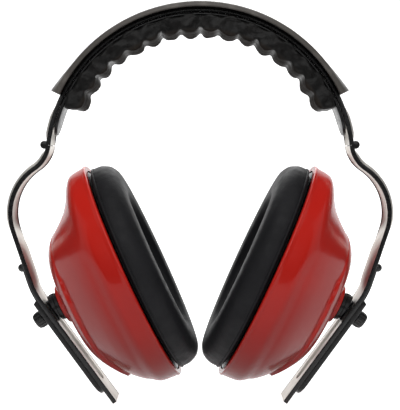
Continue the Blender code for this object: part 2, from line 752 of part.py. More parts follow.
def arm_opening(pin, swivel_frame):
    """Degrees that the arm stands open at rest, so that the two cushions just clear each other."""
    opened = 0.0
    for inset, z in cushion_profile(-FLANGE_DEPTH):
        low_edge = swivel_frame @ Vector((CUP_RISE - CUSHION_HALF_LENGTH + inset, 0.0, z))
        reach = Vector((low_edge.x - pin.x, low_edge.z - pin.y))
        limit = (-CUSHION_GAP / 2 - pin.x) / reach.length
        hang = math.atan2(reach.x, -reach.y)
        opened = max(opened, math.degrees(hang - math.asin(limit)))
    return opened


def build_side(side, half_turn, mats):
    root = add_empty(f"{side}_side", Matrix.Rotation(half_turn, 4, "Z"))
    pin = hinge_point()
    pivot_frame = frame(pin.x, pin.y)
    clamp_frame = clamp_place()
    pivot_at = clamp_frame @ Vector((0.0, 0.0, -PIVOT_DEPTH))
    swivel_frame = frame(pivot_at.x, pivot_at.z, -(90 + CUP_LEAN))
    opened = arm_opening(pin, swivel_frame)
    pivot = add_empty(f"{side}_arm_pivot", frame(pin.x, pin.y, opened), root, Matrix())
    carriage = add_empty(f"{side}_clamp_slide", clamp_frame, pivot, pivot_frame)
    knob_frame = add_empty(f"{side}_knob_turn", clamp_frame, carriage, clamp_frame)
    swivel = add_empty(f"{side}_cup_tilt", swivel_frame, carriage, clamp_frame)
    cup = add_empty(f"{side}_cup_spin", swivel_frame, swivel, swivel_frame)
    build_arm(side, mats, pivot, carriage)
    build_clamp(side, mats, carriage, knob_frame)
    build_swivel(side, mats, swivel, carriage)
    build_cup(side, mats, cup)


def main():
    clear_scene()
    mats = make_materials()
    build_headband(mats)
    build_side("left", 0.0, mats)
    build_side("right", math.pi, mats)


main()
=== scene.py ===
"""Looks of an over-the-head earmuff hearing protector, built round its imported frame.

Metres and degrees, +Z up, X across the head, Y front to back; the origin is under the pad's middle.
A side's pieces are shaped in the left side's place, and the right side's are the same shapes
turned half a turn about Z.
"""

import json
import math

import bmesh
import bpy
from mathutils import Matrix, Vector, noise


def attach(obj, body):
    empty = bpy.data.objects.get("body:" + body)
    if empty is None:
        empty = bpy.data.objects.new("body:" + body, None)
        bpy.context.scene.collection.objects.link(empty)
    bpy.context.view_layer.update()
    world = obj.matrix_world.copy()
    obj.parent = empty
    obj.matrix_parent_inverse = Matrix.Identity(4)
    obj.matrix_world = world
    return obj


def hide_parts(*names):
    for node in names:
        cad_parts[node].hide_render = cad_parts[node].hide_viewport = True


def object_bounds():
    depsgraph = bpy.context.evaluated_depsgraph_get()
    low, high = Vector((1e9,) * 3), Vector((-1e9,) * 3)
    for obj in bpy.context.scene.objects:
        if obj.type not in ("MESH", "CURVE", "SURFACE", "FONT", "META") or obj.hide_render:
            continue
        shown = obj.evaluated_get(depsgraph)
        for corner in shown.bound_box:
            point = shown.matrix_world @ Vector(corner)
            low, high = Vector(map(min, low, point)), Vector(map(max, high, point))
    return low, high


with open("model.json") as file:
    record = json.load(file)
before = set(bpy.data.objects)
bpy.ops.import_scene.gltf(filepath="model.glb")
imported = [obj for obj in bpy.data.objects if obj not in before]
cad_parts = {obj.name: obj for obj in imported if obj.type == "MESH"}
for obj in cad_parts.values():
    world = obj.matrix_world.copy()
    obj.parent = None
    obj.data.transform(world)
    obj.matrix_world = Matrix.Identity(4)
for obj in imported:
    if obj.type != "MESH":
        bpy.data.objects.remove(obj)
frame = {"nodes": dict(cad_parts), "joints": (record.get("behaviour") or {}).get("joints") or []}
cad_low, cad_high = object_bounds()

MM = 0.001
GAP = 0.3 * MM
JOINTS = {joint["name"]: joint for joint in frame["joints"]}
HALF_TURN = {"left": Matrix(), "right": Matrix.Rotation(math.pi, 4, "Z")}

# Steel arch and what lies on it
ARCH_RADIUS = 72.0 * MM
PAD_DEPTH = 11.0 * MM
ARCH_CENTRE = PAD_DEPTH - ARCH_RADIUS
ARCH_END = 83.1
STEEL_THICK = 2.0 * MM
STEEL_WIDTH = 15.0 * MM
TRIM_THICK = 2.15 * MM
TRIM_DEPTH = 1.0 * MM
TRIM_ROUND = 0.4 * MM
TRIM_OVERLAP = 0.2 * MM

COVER_END = 64.0
COVER_WIDTH = 27.0 * MM
COVER_WALL = 1.4 * MM
COVER_LIP = 2.1 * MM
COVER_CROWN = 1.9 * MM
COVER_FLARE = 2.4 * MM
COVER_FLARE_SPAN = 14.0
# side of the cover, upwards: rise from the lip, then from the shoulder, and inset from its half
# width, in millimetres
COVER_LIP_SIDE = ((-0.15, 0.7), (0.0, 0.0), (0.5, -0.2), (0.9, 0.1))
COVER_SHOULDER = ((-0.5, 0.2), (0.0, 0.6), (0.1, 1.5), (0.45, 1.9))

LEAF_END = 79.0
LEAF_WIDTH = 16.0 * MM
LEAF_THICK = 1.5 * MM

PAD_END = 69.0
PAD_WIDTH = 25.0 * MM
LOBES = 16
LOBE_PITCH = 8.33
LOBE_LONG = 4.75 * MM
LOBE_DEEP = 4.4 * MM
LOBE_LEAST, LOBE_MOST = 0.92, 1.1   # shares of a lobe's size, drawn for each
PAD_VOXEL = 0.9 * MM
PAD_TAPER = 6.0                 # of arch at each end, where the core thins
FINE_FOLD = 0.5 * MM
BROAD_FOLD = 0.9 * MM

KNUCKLE_RADIUS = 1.9 * MM
CENTRE_KNUCKLE = 5.0 * MM

# Arm, as bends of (radius, turn in degrees) and straight runs
OUT_BEND = (15.2 * MM, -49.5)
BACK_BEND = (26.0 * MM, 74.5)
UPPER_RUN = 25.8 * MM
LOWER_BEND = (33.0 * MM, 17.6)
ARM_CAMBER = 1.9 * MM
RUN_CAMBER = 1.7 * MM
CLAMP_DOWN = 7.0 * MM
SLIDE_TRAVEL = JOINTS["left_height_slide"]["range_m"][1]
SLOT_WIDTH = 6.0 * MM
STEEL_BELOW_SLOT = 11.6 * MM
TAIL_RUN = CLAMP_DOWN + SLIDE_TRAVEL + SLOT_WIDTH / 2 + STEEL_BELOW_SLOT
SLOT_CUT = 20 * MM              # reach of the slot's cutter each way through the tail

RAIL_THICK = 2.8 * MM
RAIL_LIP_THICK = 0.8 * MM
RAIL_WIDTH = 13.0 * MM
RAIL_ABOVE_CLAMP = 8.2 * MM
RAIL_TAIL_MARGIN = 6.4 * MM
RIVET_UP = 18.0 * MM
RIVET_HEAD = 2.0 * MM
RAIL_TOP = STEEL_THICK / 2 + GAP + RAIL_THICK + GAP
SHOE_HALF = 5.5 * MM
SHOE_FACE = -STEEL_THICK / 2 - GAP - 0.5 * MM

KNOB_RADIUS = 3.9 * MM
KNOB_LENGTH = 4.8 * MM
PIVOT_DEPTH = 4.8 * MM
BARREL_RADIUS = 7.2 * MM
BARREL_BORE = 5.2 * MM
BARREL_NECK = 2.8 * MM
BARREL_CUT = 15 * MM            # half width of the barrel's cutters
BARREL_CUT_END = 30 * MM
GROOVE_DEPTH = 0.35 * MM
PIN_RADIUS = 0.9 * MM
PIN_HALF = 6.6 * MM
EYE_RADIUS = 2.3 * MM
EYE_THICK = 4.4 * MM

# Cup, in its own frame: +X up the cup, +Z out through the dome, origin on the cross pin
CUP_FACETS = 256
DOME_RINGS = 96
WALL_RINGS = 13
CUP_RISE = 1.0 * MM
CUP_DEPTH = 35.6 * MM
CUP_HALF_LENGTH = 54.7 * MM
CUP_HALF_WIDTH = 42.0 * MM
BOSS_HEIGHT = 2.7 * MM
PIN_ABOVE_BOSS = 1.6 * MM
FACE = -(CUP_DEPTH + BOSS_HEIGHT + PIN_ABOVE_BOSS)
DOME_TOP = FACE + CUP_DEPTH
WALL = 2.4 * MM
# rim, from its inner edge round: inset from the outline and rise from the face, in millimetres
RIM = ((1.3, 0.25), (0.7, 0.0), (0.2, 0.05), (-0.25, 0.45), (-0.3, 0.9), (-0.1, 1.4))
RIM_HEIGHT = 1.9 * MM
HUB_RADIUS = 11.8 * MM
# stepped boss and its bore: radius and rise from the hub, in millimetres
BOSS = (
    (11.2, 0.08), (10.7, 0.35), (10.45, 0.9), (10.4, 1.35), (10.0, 1.45), (9.75, 1.5),
    (9.7, 1.75), (9.45, 1.9), (9.4, 2.35), (9.15, 2.65), (8.8, 2.7), (5.9, 2.7), (5.55, 2.4),
    (5.5, 0.0), (3.1, 0.0), (3.1, -2.4),
)
# dome: share of its height, and shares of its reach up, its reach down and its half width there
DOME_SHARES = (
    (0.0, 1.0, 1.0, 1.0),
    (0.084, 0.995, 1.0, 0.995),
    (0.253, 0.976, 0.993, 0.976),
    (0.337, 0.921, 0.982, 0.957),
    (0.438, 0.804, 0.954, 0.919),
    (0.52, 0.731, 0.918, 0.871),
    (0.632, 0.662, 0.852, 0.786),
    (0.815, 0.563, 0.709, 0.619),
    (0.916, 0.483, 0.603, 0.51),
    (0.972, 0.402, 0.505, 0.419),
    (1.0, 0.322, 0.395, 0.319),
)
# raised panel on the dome: place along the cup and half width there, in millimetres
PANEL = (
    (-46.0, 0.0), (-45.0, 5.5), (-42.0, 8.0), (-36.0, 11.0), (-28.0, 15.5), (-20.0, 19.5),
    (-10.0, 22.6), (0.0, 23.6), (10.0, 22.2), (20.0, 17.5), (27.0, 10.5), (30.5, 5.0), (32.0, 0.0),
)
PANEL_STEP = 1.5 * MM
PANEL_EDGE = 0.9 * MM

CUSHION_THICK = 14.6 * MM
CUSHION_HALF_LENGTH = 53.2 * MM
CUSHION_HALF_WIDTH = 40.6 * MM
CUSHION_SLACK = 1.2 * MM
CUSHION_CLEAR = 0.3 * MM        # kept from the middle plane, so the two never meet
CUSHION_VOXEL = 2.2 * MM
FILL_PRESSURE = 4.0
FILL_CAP = 2.2 * MM
FILL_FRAMES = 20
HELD_BACK = 3.5 * MM
SEAM_RADIUS = 0.6 * MM
SEAM_INSET = 1.5 * MM
SEAM_DOWN = 2.2 * MM
OPENING_HALF_LENGTH = 31.0 * MM
OPENING_HALF_WIDTH = 19.0 * MM
LINER_FROM = 9.7 * MM
LINER_THICK = 3.0 * MM
CORE_TOP = 24.7 * MM
FOAM_CROWN = 0.8 * MM

# Studio
EYE_BACK = 455 * MM             # camera in front of the middle plane
EYE_HEIGHT = -59 * MM
VIEW_CENTRE = -81 * MM
VIEW_SPAN = 196.8 * MM          # seen at the middle plane along the longer side of the render
SENSOR = 36.0
SWEEP_FRONT, SWEEP_BEND_FROM, SWEEP_BEND, SWEEP_TOP = -0.32, 0.55, 0.35, 1.6
SWEEP_HALF = 0.7
LIGHTS = (                      # name, place, size and power
    ("key", (0.0, -1.00, 0.60), 1.2, 9.2),
    ("side_left", (-0.90, -0.30, 0.15), 0.7, 0.8),
    ("side_right", (0.90, -0.30, 0.15), 0.7, 0.9),
    ("overhead", (0.0, 0.05, 0.80), 0.9, 3.2),
    ("back_fill", (0.0, 0.72, 0.50), 0.6, 2.4),
)


# ---------------------------------------------------------------- node building

def node(tree, kind, inputs=None, **settings):
    """Add a node; an input given as a socket is linked, any other value is set."""
    made = tree.nodes.new(kind)
    for key, value in settings.items():
        setattr(made, key, value)
    for key, value in (inputs or {}).items():
        if isinstance(value, bpy.types.NodeSocket):
            tree.links.new(value, made.inputs[key])
        else:
            made.inputs[key].default_value = value
    return made


def maths(tree, operation, first, second=0.0):
    """A Math node's result; each value is a number or a socket."""
    made = node(tree, "ShaderNodeMath", {0: first, 1: second}, operation=operation)
    return made.outputs["Value"]


def start_tree(name, base, sizes, result):
    """Start a Geometry Nodes tree with named inputs, and give their sockets with it."""
    tree = bpy.data.node_groups.new(name, "GeometryNodeTree")
    face = tree.interface
    face.new_socket(name=base, in_out="INPUT", socket_type="NodeSocketGeometry")
    for size, kind in sizes.items():
        face.new_socket(name=size, in_out="INPUT", socket_type=f"NodeSocket{kind}")
    face.new_socket(name=result, in_out="OUTPUT", socket_type="NodeSocketGeometry")
    return tree, tree.nodes.new("NodeGroupInput").outputs


def end_tree(tree, base, copies, material):
    """Make the copies real, join them to the base and give the whole its material."""
    solid = node(tree, "GeometryNodeRealizeInstances", {"Geometry": copies.outputs[0]})
    whole = node(tree, "GeometryNodeJoinGeometry")
    tree.links.new(base, whole.inputs[0])
    tree.links.new(solid.outputs[0], whole.inputs[0])
    coated = node(tree, "GeometryNodeSetMaterial", {
        "Geometry": whole.outputs[0], "Material": material})
    tree.links.new(coated.outputs[0], tree.nodes.new("NodeGroupOutput").inputs[0])
    return tree


class Finish:
    """A Principled material with short calls for its textures."""

    def __init__(self, name, colour, rough, **sockets):
        self.material = bpy.data.materials.new(name)
        self.material.use_nodes = True
        self.tree = self.material.node_tree
        self.shader = self.tree.nodes["Principled BSDF"]
        self.colour = (*colour, 1.0)
        self.rough = rough
        self.normal = None
        self.shader.inputs["Base Color"].default_value = self.colour
        self.shader.inputs["Roughness"].default_value = rough
        for key, value in sockets.items():
            self.shader.inputs[key.replace("_", " ")].default_value = value
        self.place = node(self.tree, "ShaderNodeTexCoord").outputs["Object"]

    def stretched(self, scale):
        made = node(self.tree, "ShaderNodeMapping", {"Vector": self.place, "Scale": scale})
        return made.outputs["Vector"]

    def noise(self, scale, detail=3.0, distortion=0.0, vector=None):
        made = node(self.tree, "ShaderNodeTexNoise", {
            "Vector": vector or self.place, "Scale": scale, "Detail": detail,
            "Distortion": distortion})
        return made.outputs["Fac"]

    def cells(self, scale, feature="F1"):
        made = node(self.tree, "ShaderNodeTexVoronoi", {"Vector": self.place, "Scale": scale},
                    feature=feature)
        return made.outputs["Distance"]

    def ramp(self, value, low, high, to_low=0.0, to_high=1.0):
        made = node(self.tree, "ShaderNodeMapRange", {
            "Value": value, "From Min": low, "From Max": high, "To Min": to_low, "To Max": to_high})
        return made.outputs["Result"]

    def math(self, operation, first, second=0.0):
        return maths(self.tree, operation, first, second)

    def mix_colour(self, factor, other):
        """Blend the finish's colour so far towards another by a factor."""
        base = self.shader.inputs["Base Color"]
        before = base.links[0].from_socket if base.is_linked else self.colour
        made = node(self.tree, "ShaderNodeMix", {0: factor, 6: before, 7: (*other, 1.0)},
                    data_type="RGBA")
        self.tree.links.new(made.outputs[2], base)
        return self

    def vary_rough(self, value, low, high):
        self.tree.links.new(
            self.ramp(value, 0.3, 0.7, low, high), self.shader.inputs["Roughness"])
        return self

    def bump(self, height, strength, depth):
        inputs = {"Height": height, "Strength": strength, "Distance": depth}
        if self.normal is not None:
            inputs["Normal"] = self.normal
        made = node(self.tree, "ShaderNodeBump", inputs)
        self.normal = made.outputs["Normal"]
        self.tree.links.new(self.normal, self.shader.inputs["Normal"])
        return self


def red_gloss():
    """High-gloss moulded plastic: a deep even red with a faint ripple and fine scuffs."""
    made = Finish("cup_red_gloss", (0.64, 0.018, 0.010), 0.18, Coat_Weight=0.14,
                  Coat_Roughness=0.05, Specular_IOR_Level=0.20)
    cloud = made.noise(28.0, 2.0)
    made.mix_colour(made.ramp(cloud, 0.35, 0.75), (0.55, 0.014, 0.009))
    scuff = made.noise(420.0, 6.0, 1.2)
    made.vary_rough(scuff, 0.22, 0.27)
    made.bump(made.noise(55.0, 1.0), 0.05, 1.2 * MM)
    return made.bump(made.noise(1500.0, 2.0), 0.03, 0.1 * MM).material


def leatherette(name, colour, rub, grain, crease_depth, rough=0.46, glint=0.17):
    """Coated cloth: pebbled grain, soft creases and a faint sheen."""
    made = Finish(name, colour, 0.5, Specular_IOR_Level=glint, Sheen_Weight=0.04, Sheen_Roughness=0.4)
    cloud = made.noise(70.0, 4.0, 0.6)
    made.mix_colour(made.ramp(cloud, 0.4, 0.8), rub)
    made.vary_rough(made.noise(260.0, 4.0), rough, rough + 0.18)
    pebble = made.cells(grain)
    made.bump(made.ramp(pebble, 0.0, 0.6), 0.28, 0.12 * MM)
    wrinkle = made.noise(150.0, 5.0, 2.2)
    return made.bump(wrinkle, 0.35, crease_depth)


def pad_leather():
    """The pad's underside, where it meets the head, is tinted brown grey as painted light from below,
    and made rougher.
    """
    made = leatherette("pad_skin", (0.004, 0.0037, 0.0036), (0.008, 0.007, 0.0065),
                       1700.0, 1.0 * MM, 0.30)
    apart = node(made.tree, "ShaderNodeSeparateXYZ", {"Vector": made.place})
    up = made.math("SUBTRACT", apart.outputs["Z"], ARCH_CENTRE)
    across = made.math("POWER", apart.outputs["X"], 2.0)
    reach = made.math("SQRT", made.math("ADD", across, made.math("POWER", up, 2.0)))
    inside = ARCH_RADIUS - PAD_DEPTH
    under = made.ramp(reach, inside + 2.2 * MM, inside + 0.2 * MM)
    # painted light from below: a brown grey tint on the underside, broken up by noise
    painted_underlight = made.math("MULTIPLY", under, made.ramp(made.noise(220.0, 3.0), 0.25, 0.6, 0.35, 1.0))
    before = made.shader.inputs["Roughness"].links[0].from_socket
    dull = made.math("ADD", before, made.math("MULTIPLY", under, 0.6))
    made.tree.links.new(dull, made.shader.inputs["Roughness"])
    # colour of the painted light from below on the pad's underside
    return made.mix_colour(painted_underlight, (0.032, 0.025, 0.020)).material


def cushion_leather():
    return leatherette("cushion_skin", (0.0075, 0.0075, 0.009), (0.012, 0.012, 0.014),
                       2100.0, 0.18 * MM).material


def moulded(name, colour, low, high, grain=900.0, relief=0.10):
    """Black moulded plastic with a fine spark-eroded grain and lighter rubbed patches."""
    made = Finish(name, colour, low, Specular_IOR_Level=0.26)
    rubbed = tuple(channel * 2.2 + 0.004 for channel in colour)
    made.mix_colour(made.ramp(made.noise(120.0, 5.0), 0.55, 0.85), rubbed)
    made.vary_rough(made.noise(340.0, 4.0), low, high)
    return made.bump(made.noise(grain, 3.0), relief, 0.25 * MM).material


def enamel():
    made = Finish("black_enamel", (0.005, 0.005, 0.0055), 0.24, Coat_Weight=0.12, Coat_Roughness=0.12,
                  Specular_IOR_Level=0.3)
    made.vary_rough(made.noise(500.0, 4.0), 0.20, 0.36)
    return made.bump(made.noise(700.0, 2.0), 0.06, 0.15 * MM).material


def strip_steel():
    """Rolled strip: fine lines along its length, slightly warm, with faint dull patches."""
    made = Finish("rolled_steel", (0.66, 0.63, 0.585), 0.36, Metallic=1.0, Anisotropic=0.35)
    lines = made.noise(1.0, 4.0, 0.0, made.stretched((60.0, 2600.0, 60.0)))
    made.mix_colour(made.ramp(made.noise(90.0, 4.0, 0.5), 0.45, 0.8), (0.50, 0.465, 0.425))
    made.vary_rough(lines, 0.32, 0.52)
    return made.bump(lines, 0.10, 0.08 * MM).material


def bright_steel():
    """Turned and plated small parts."""
    made = Finish("plated_steel", (0.60, 0.60, 0.61), 0.22, Metallic=1.0)
    made.vary_rough(made.noise(900.0, 5.0), 0.16, 0.34)
    return made.bump(made.noise(2400.0, 2.0), 0.05, 0.05 * MM).material


def open_foam():
    """Open-cell foam: fine pores, sunk by the bump, with painted shade darkening their hollows."""
    made = Finish("open_foam", (0.034, 0.034, 0.037), 0.95, Specular_IOR_Level=0.2)
    pores = made.cells(1300.0)
    # painted shade: the pores' hollows are darkened
    made.mix_colour(made.ramp(pores, 0.35, 0.1), (0.008, 0.008, 0.009))
    return made.bump(pores, 0.8, 0.5 * MM).material


def pale_floor():
    made = Finish("studio_sweep", (0.90, 0.90, 0.90), 0.7,
                  Emission_Color=(1.0, 1.0, 1.0, 1.0), Emission_Strength=0.78)
    return made.mix_colour(made.ramp(made.noise(3.0, 2.0), 0.3, 0.7), (0.88, 0.88, 0.885)).material


MATERIALS = {
    "red": red_gloss(),
    "pad": pad_leather(),
    "cushion": cushion_leather(),
    "cover": moulded("cover_satin", (0.095, 0.086, 0.078), 0.26, 0.40, 1500.0, 0.12),
    "black": moulded("rail_black", (0.006, 0.006, 0.0065), 0.20, 0.38, 800.0, 0.07),
    "enamel": enamel(),
    "steel": strip_steel(),
    "bright": bright_steel(),
    "foam": open_foam(),
}


# ---------------------------------------------------------------- shapes

def skin(rings, closed=False):
    """Bridge rings of points; the ends are capped unless the rings close on themselves."""
    bm = bmesh.new()
    made = [[bm.verts.new(point) for point in ring] for ring in rings]
    pairs = list(zip(made, made[1:]))
    if closed:
        pairs.append((made[-1], made[0]))
    count = len(made[0])
    for low, high in pairs:
        for i in range(count):
            j = (i + 1) % count
            bm.faces.new((low[i], low[j], high[j], high[i]))
    if not closed:
        bm.faces.new(made[0])
        bm.faces.new(made[-1])
    return bm


def sweep(stations, section_at):
    """Sweep a section of (outward, y) points along (point, outward) stations in the XZ plane."""
    rings = []
    for i, (point, out) in enumerate(stations):
        rings.append([(point.x + out.x * r, y, point.y + out.y * r) for r, y in section_at(i)])
    return skin(rings)


def skin_along(stations, section):
    """Sweep a section that stays the same."""
    return sweep(stations, lambda _: section)


def turned(profile, facets=48, closed=False):
    """Turn (radius, z) points about Z."""
    rings = []
    for radius, z in profile:
        turns = (2 * math.pi * i / facets for i in range(facets))
        rings.append([(radius * math.cos(a), radius * math.sin(a), z) for a in turns])
    return skin(rings, closed)


def arc(x, y, radius, start, end, steps):
    """Points round a centre, from one angle in degrees to another."""
    turns = [math.radians(start + (end - start) * i / steps) for i in range(steps + 1)]
    return [(x + radius * math.cos(a), y + radius * math.sin(a)) for a in turns]


def rounded_box(low_out, high_out, half, edge, steps=3):
    """A closed section of (outward, y) points with rounded corners."""
    high, low, side = high_out - edge, low_out + edge, half - edge
    points = []
    for out, y, start in ((high, side, 0), (low, side, 90), (low, -side, 180), (high, -side, 270)):
        points += arc(out, y, edge, start, start + 90, steps)
    return points


def block(low, high):
    bm = bmesh.new()
    size = Vector(high) - Vector(low)
    middle = (Vector(high) + Vector(low)) / 2
    bmesh.ops.create_cube(bm, size=1.0, matrix=Matrix.Translation(middle) @ Matrix.Diagonal((*size, 1)))
    return bm


def rod(radius, low, high, edge, facets=40):
    """A rod along Z with rounded ends."""
    profile = arc(radius - edge, low + edge, edge, -90, 0, 3)
    return turned(profile + arc(radius - edge, high - edge, edge, 0, 90, 3), facets)


def put(bm, matrix):
    bmesh.ops.transform(bm, matrix=matrix, verts=bm.verts)
    return bm


def join(bm, other):
    """Add another shape to a shape."""
    mesh = bpy.data.meshes.new("part")
    other.to_mesh(mesh)
    other.free()
    bm.from_mesh(mesh)
    bpy.data.meshes.remove(mesh)
    return bm


def smooth_step(value):
    value = max(0.0, min(1.0, value))
    return value * value * (3 - 2 * value)


def along(table, x):
    """Linear value from a table of (x, value) pairs."""
    if x <= table[0][0]:
        return table[0][1]
    for (x0, y0), (x1, y1) in zip(table, table[1:]):
        if x <= x1:
            return y0 + (y1 - y0) * (x - x0) / (x1 - x0)
    return table[-1][1]


# ---------------------------------------------------------------- pieces

def new_object(name, bm, material):
    bmesh.ops.recalc_face_normals(bm, faces=bm.faces)
    mesh = bpy.data.meshes.new(name)
    bm.to_mesh(mesh)
    bm.free()
    mesh.materials.append(material)
    made = bpy.data.objects.new(name, mesh)
    bpy.context.scene.collection.objects.link(made)
    return made


def settle(made):
    """Turn what the modifiers make into the object's own plain mesh."""
    bpy.context.view_layer.update()
    deps = bpy.context.evaluated_depsgraph_get()
    mesh = bpy.data.meshes.new_from_object(made.evaluated_get(deps))
    made.modifiers.clear()
    before = made.data
    made.data = mesh
    mesh.name = before.name + "_made"
    mesh.materials.clear()
    mesh.materials.append(before.materials[0])
    bpy.data.meshes.remove(before)
    return made


def cut(made, *tools):
    """Take shapes away from a piece."""
    cutters = [new_object("cutter", tool, MATERIALS["black"]) for tool in tools]
    for cutter in cutters:
        change = made.modifiers.new("cut", "BOOLEAN")
        change.operation = "DIFFERENCE"
        change.solver = "EXACT"
        change.object = cutter
    settle(made)
    for cutter in cutters:
        bpy.data.objects.remove(cutter, do_unlink=True)
    return made


def finished(made, body, stands_for=(), angle=38):
    """Shade a piece, put it on its body and hide the frame's nodes that it stands for."""
    made.data.shade_smooth()
    made.data.set_sharp_from_angle(angle=math.radians(angle))
    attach(made, body)
    if stands_for:
        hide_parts(*stands_for)
    return made


def side_pieces(name, shape, material, body, stands_for=(), angle=38, tools=None):
    """Make one piece on both sides from a function that gives its shape in the left place."""
    for side, turn in HALF_TURN.items():
        made = new_object(f"{side}_{name}", shape(), MATERIALS[material])
        if tools is not None:
            cut(made, *tools())
        made.data.transform(turn)
        finished(made, body.format(side), [f"{side}_{each}" for each in stands_for], angle)


# ---------------------------------------------------------------- paths and frames

def arch(from_deg, to_deg, step=1.5):
    """Stations of (point, outward) on the middle of the steel, and their angles."""
    count = max(2, round(abs(to_deg - from_deg) / step))
    angles = [from_deg + (to_deg - from_deg) * i / count for i in range(count + 1)]
    stations = []
    for angle in angles:
        out = Vector((math.sin(math.radians(angle)), math.cos(math.radians(angle))))
        stations.append((out * ARCH_RADIUS + Vector((0.0, ARCH_CENTRE)), out))
    return stations, angles


def heading_down(heading):
    a = math.radians(heading)
    return Vector((math.sin(a), -math.cos(a)))


def heading_out(heading):
    a = math.radians(heading)
    return Vector((-math.cos(a), -math.sin(a)))


def arm_path():
    """Stations of (point, heading, distance) down the left arm, and the tail's first index."""
    gap_angle = math.degrees(GAP / ARCH_RADIUS)
    start = math.radians(-ARCH_END - gap_angle)
    point = Vector((math.sin(start), math.cos(start))) * ARCH_RADIUS + Vector((0.0, ARCH_CENTRE))
    heading = -(90.0 - ARCH_END - gap_angle)
    path = [(point, heading, 0.0)]

    def bend(radius, turn):
        point, heading, gone = path[-1]
        sign = math.copysign(1.0, turn)
        centre = point - heading_out(heading) * radius * sign
        steps = math.ceil(abs(turn) / 2.5)
        for i in range(1, steps + 1):
            now = heading + turn * i / steps
            length = gone + radius * math.radians(abs(turn)) * i / steps
            path.append((centre + heading_out(now) * radius * sign, now, length))

    def run(length, steps):
        point, heading, gone = path[-1]
        for i in range(1, steps + 1):
            part = length * i / steps
            path.append((point + heading_down(heading) * part, heading, gone + part))

    bend(*OUT_BEND)
    bend(*BACK_BEND)
    run(UPPER_RUN, 10)
    bend(*LOWER_BEND)
    tail = len(path) - 1
    run(TAIL_RUN, 24)
    return path, tail


ARM_PATH, TAIL = arm_path()
ARM_STATIONS = [(point, heading_out(heading)) for point, heading, _ in ARM_PATH]
TAIL_AT = ARM_PATH[TAIL][2]
RUN_FROM = TAIL_AT - UPPER_RUN - LOWER_BEND[0] * math.radians(LOWER_BEND[1])


def on_arm(distance):
    """Point and heading at a distance from the tail's start: up is negative."""
    at = TAIL_AT + distance
    for (p0, h0, d0), (p1, h1, d1) in zip(ARM_PATH, ARM_PATH[1:]):
        if at <= d1:
            share = (at - d0) / (d1 - d0)
            return p0.lerp(p1, share), h0 + (h1 - h0) * share
    return ARM_PATH[-1][0], ARM_PATH[-1][1]


def axes(origin, x_axis, z_axis):
    """A frame from its origin, X and Z, as a matrix."""
    x = Vector(x_axis).normalized()
    z = Vector(z_axis).normalized()
    y = z.cross(x)
    made = Matrix((x, y, z)).transposed().to_4x4()
    made.translation = Vector(origin)
    return made


PIN = Vector(JOINTS["left_arm_spread"]["pos_m"])
CLAMP = axes(
    JOINTS["left_knob_turn"]["pos_m"], -Vector(JOINTS["left_height_slide"]["axis"]),
    JOINTS["left_knob_turn"]["axis"])
CUP_OUT = Vector(JOINTS["left_cup_spin"]["axis"])
CUP = axes(JOINTS["left_cup_spin"]["pos_m"], Vector((CUP_OUT.z, 0.0, -CUP_OUT.x)), CUP_OUT)
ALONG_Y = Matrix.Rotation(math.radians(90), 4, "X")


# ---------------------------------------------------------------- headband

def cover_shape():
    """Moulded cover: lipped sides, a ridge, and a crowned top that rises at both ends."""
    stations, angles = arch(-COVER_END, COVER_END)
    inside = STEEL_THICK / 2 + GAP
    shoulder = inside + COVER_WALL
    lip = shoulder - COVER_LIP
    half = COVER_WIDTH / 2

    def section(i):
        near = max(0.0, abs(angles[i]) - (COVER_END - COVER_FLARE_SPAN)) / COVER_FLARE_SPAN
        crown = COVER_CROWN + COVER_FLARE * near ** 1.5
        right = [(lip, half - COVER_WALL)]
        for start, side in ((lip, COVER_LIP_SIDE), (shoulder, COVER_SHOULDER)):
            right += [(start + rise * MM, half - inset * MM) for rise, inset in side]
        step, step_in = (each * MM for each in COVER_SHOULDER[-1])
        for k in range(1, 8):
            share = k / 8
            rise = step + (crown - step) * math.sin(math.radians(90 * share)) ** 0.9
            right.append((shoulder + rise, (half - step_in) * (1 - share)))
        top = [(shoulder + crown, 0.0)]
        left = [(out, -y) for out, y in reversed(right)]
        return right + top + left + [(inside, -half + COVER_WALL), (inside, half - COVER_WALL)]

    return sweep(stations, section)


def band_steel_shape():
    """Arch strip, flat under the cover and cambered where it comes out of it."""
    stations, angles = arch(-ARCH_END, ARCH_END)

    def section(i):
        angle = abs(angles[i])
        bulge = smooth_step((angle - COVER_END - 1) / 8) * (1 - smooth_step((angle - 79) / 4))
        return cambered(bulge * ARM_CAMBER, STEEL_WIDTH / 2, STEEL_THICK / 2)

    return sweep(stations, section)


def edging(stations):
    """Black rounded edge down the front and back of a steel strip."""
    ring = rounded_box(-TRIM_THICK / 2, TRIM_THICK / 2, TRIM_DEPTH / 2, TRIM_ROUND)
    bm = bmesh.new()
    for sign in (-1, 1):
        middle = sign * (STEEL_WIDTH / 2 - TRIM_OVERLAP)
        edge = [(out, middle + y) for out, y in ring]
        join(bm, skin_along(stations, edge))
    return bm


def leaf_shape():
    """Thin leaf under the steel, round at both ends."""
    stations, angles = arch(-LEAF_END, LEAF_END, 1.0)
    top = -STEEL_THICK / 2 - GAP
    half = LEAF_WIDTH / 2

    def section(i):
        from_end = math.radians(LEAF_END - abs(angles[i])) * ARCH_RADIUS
        share = min(1.0, from_end / half)
        wide = max(1.5 * MM, half * math.sqrt(1 - (1 - share) ** 2))
        return rounded_box(top - LEAF_THICK, top, wide, 0.5 * MM)

    return sweep(stations, section)


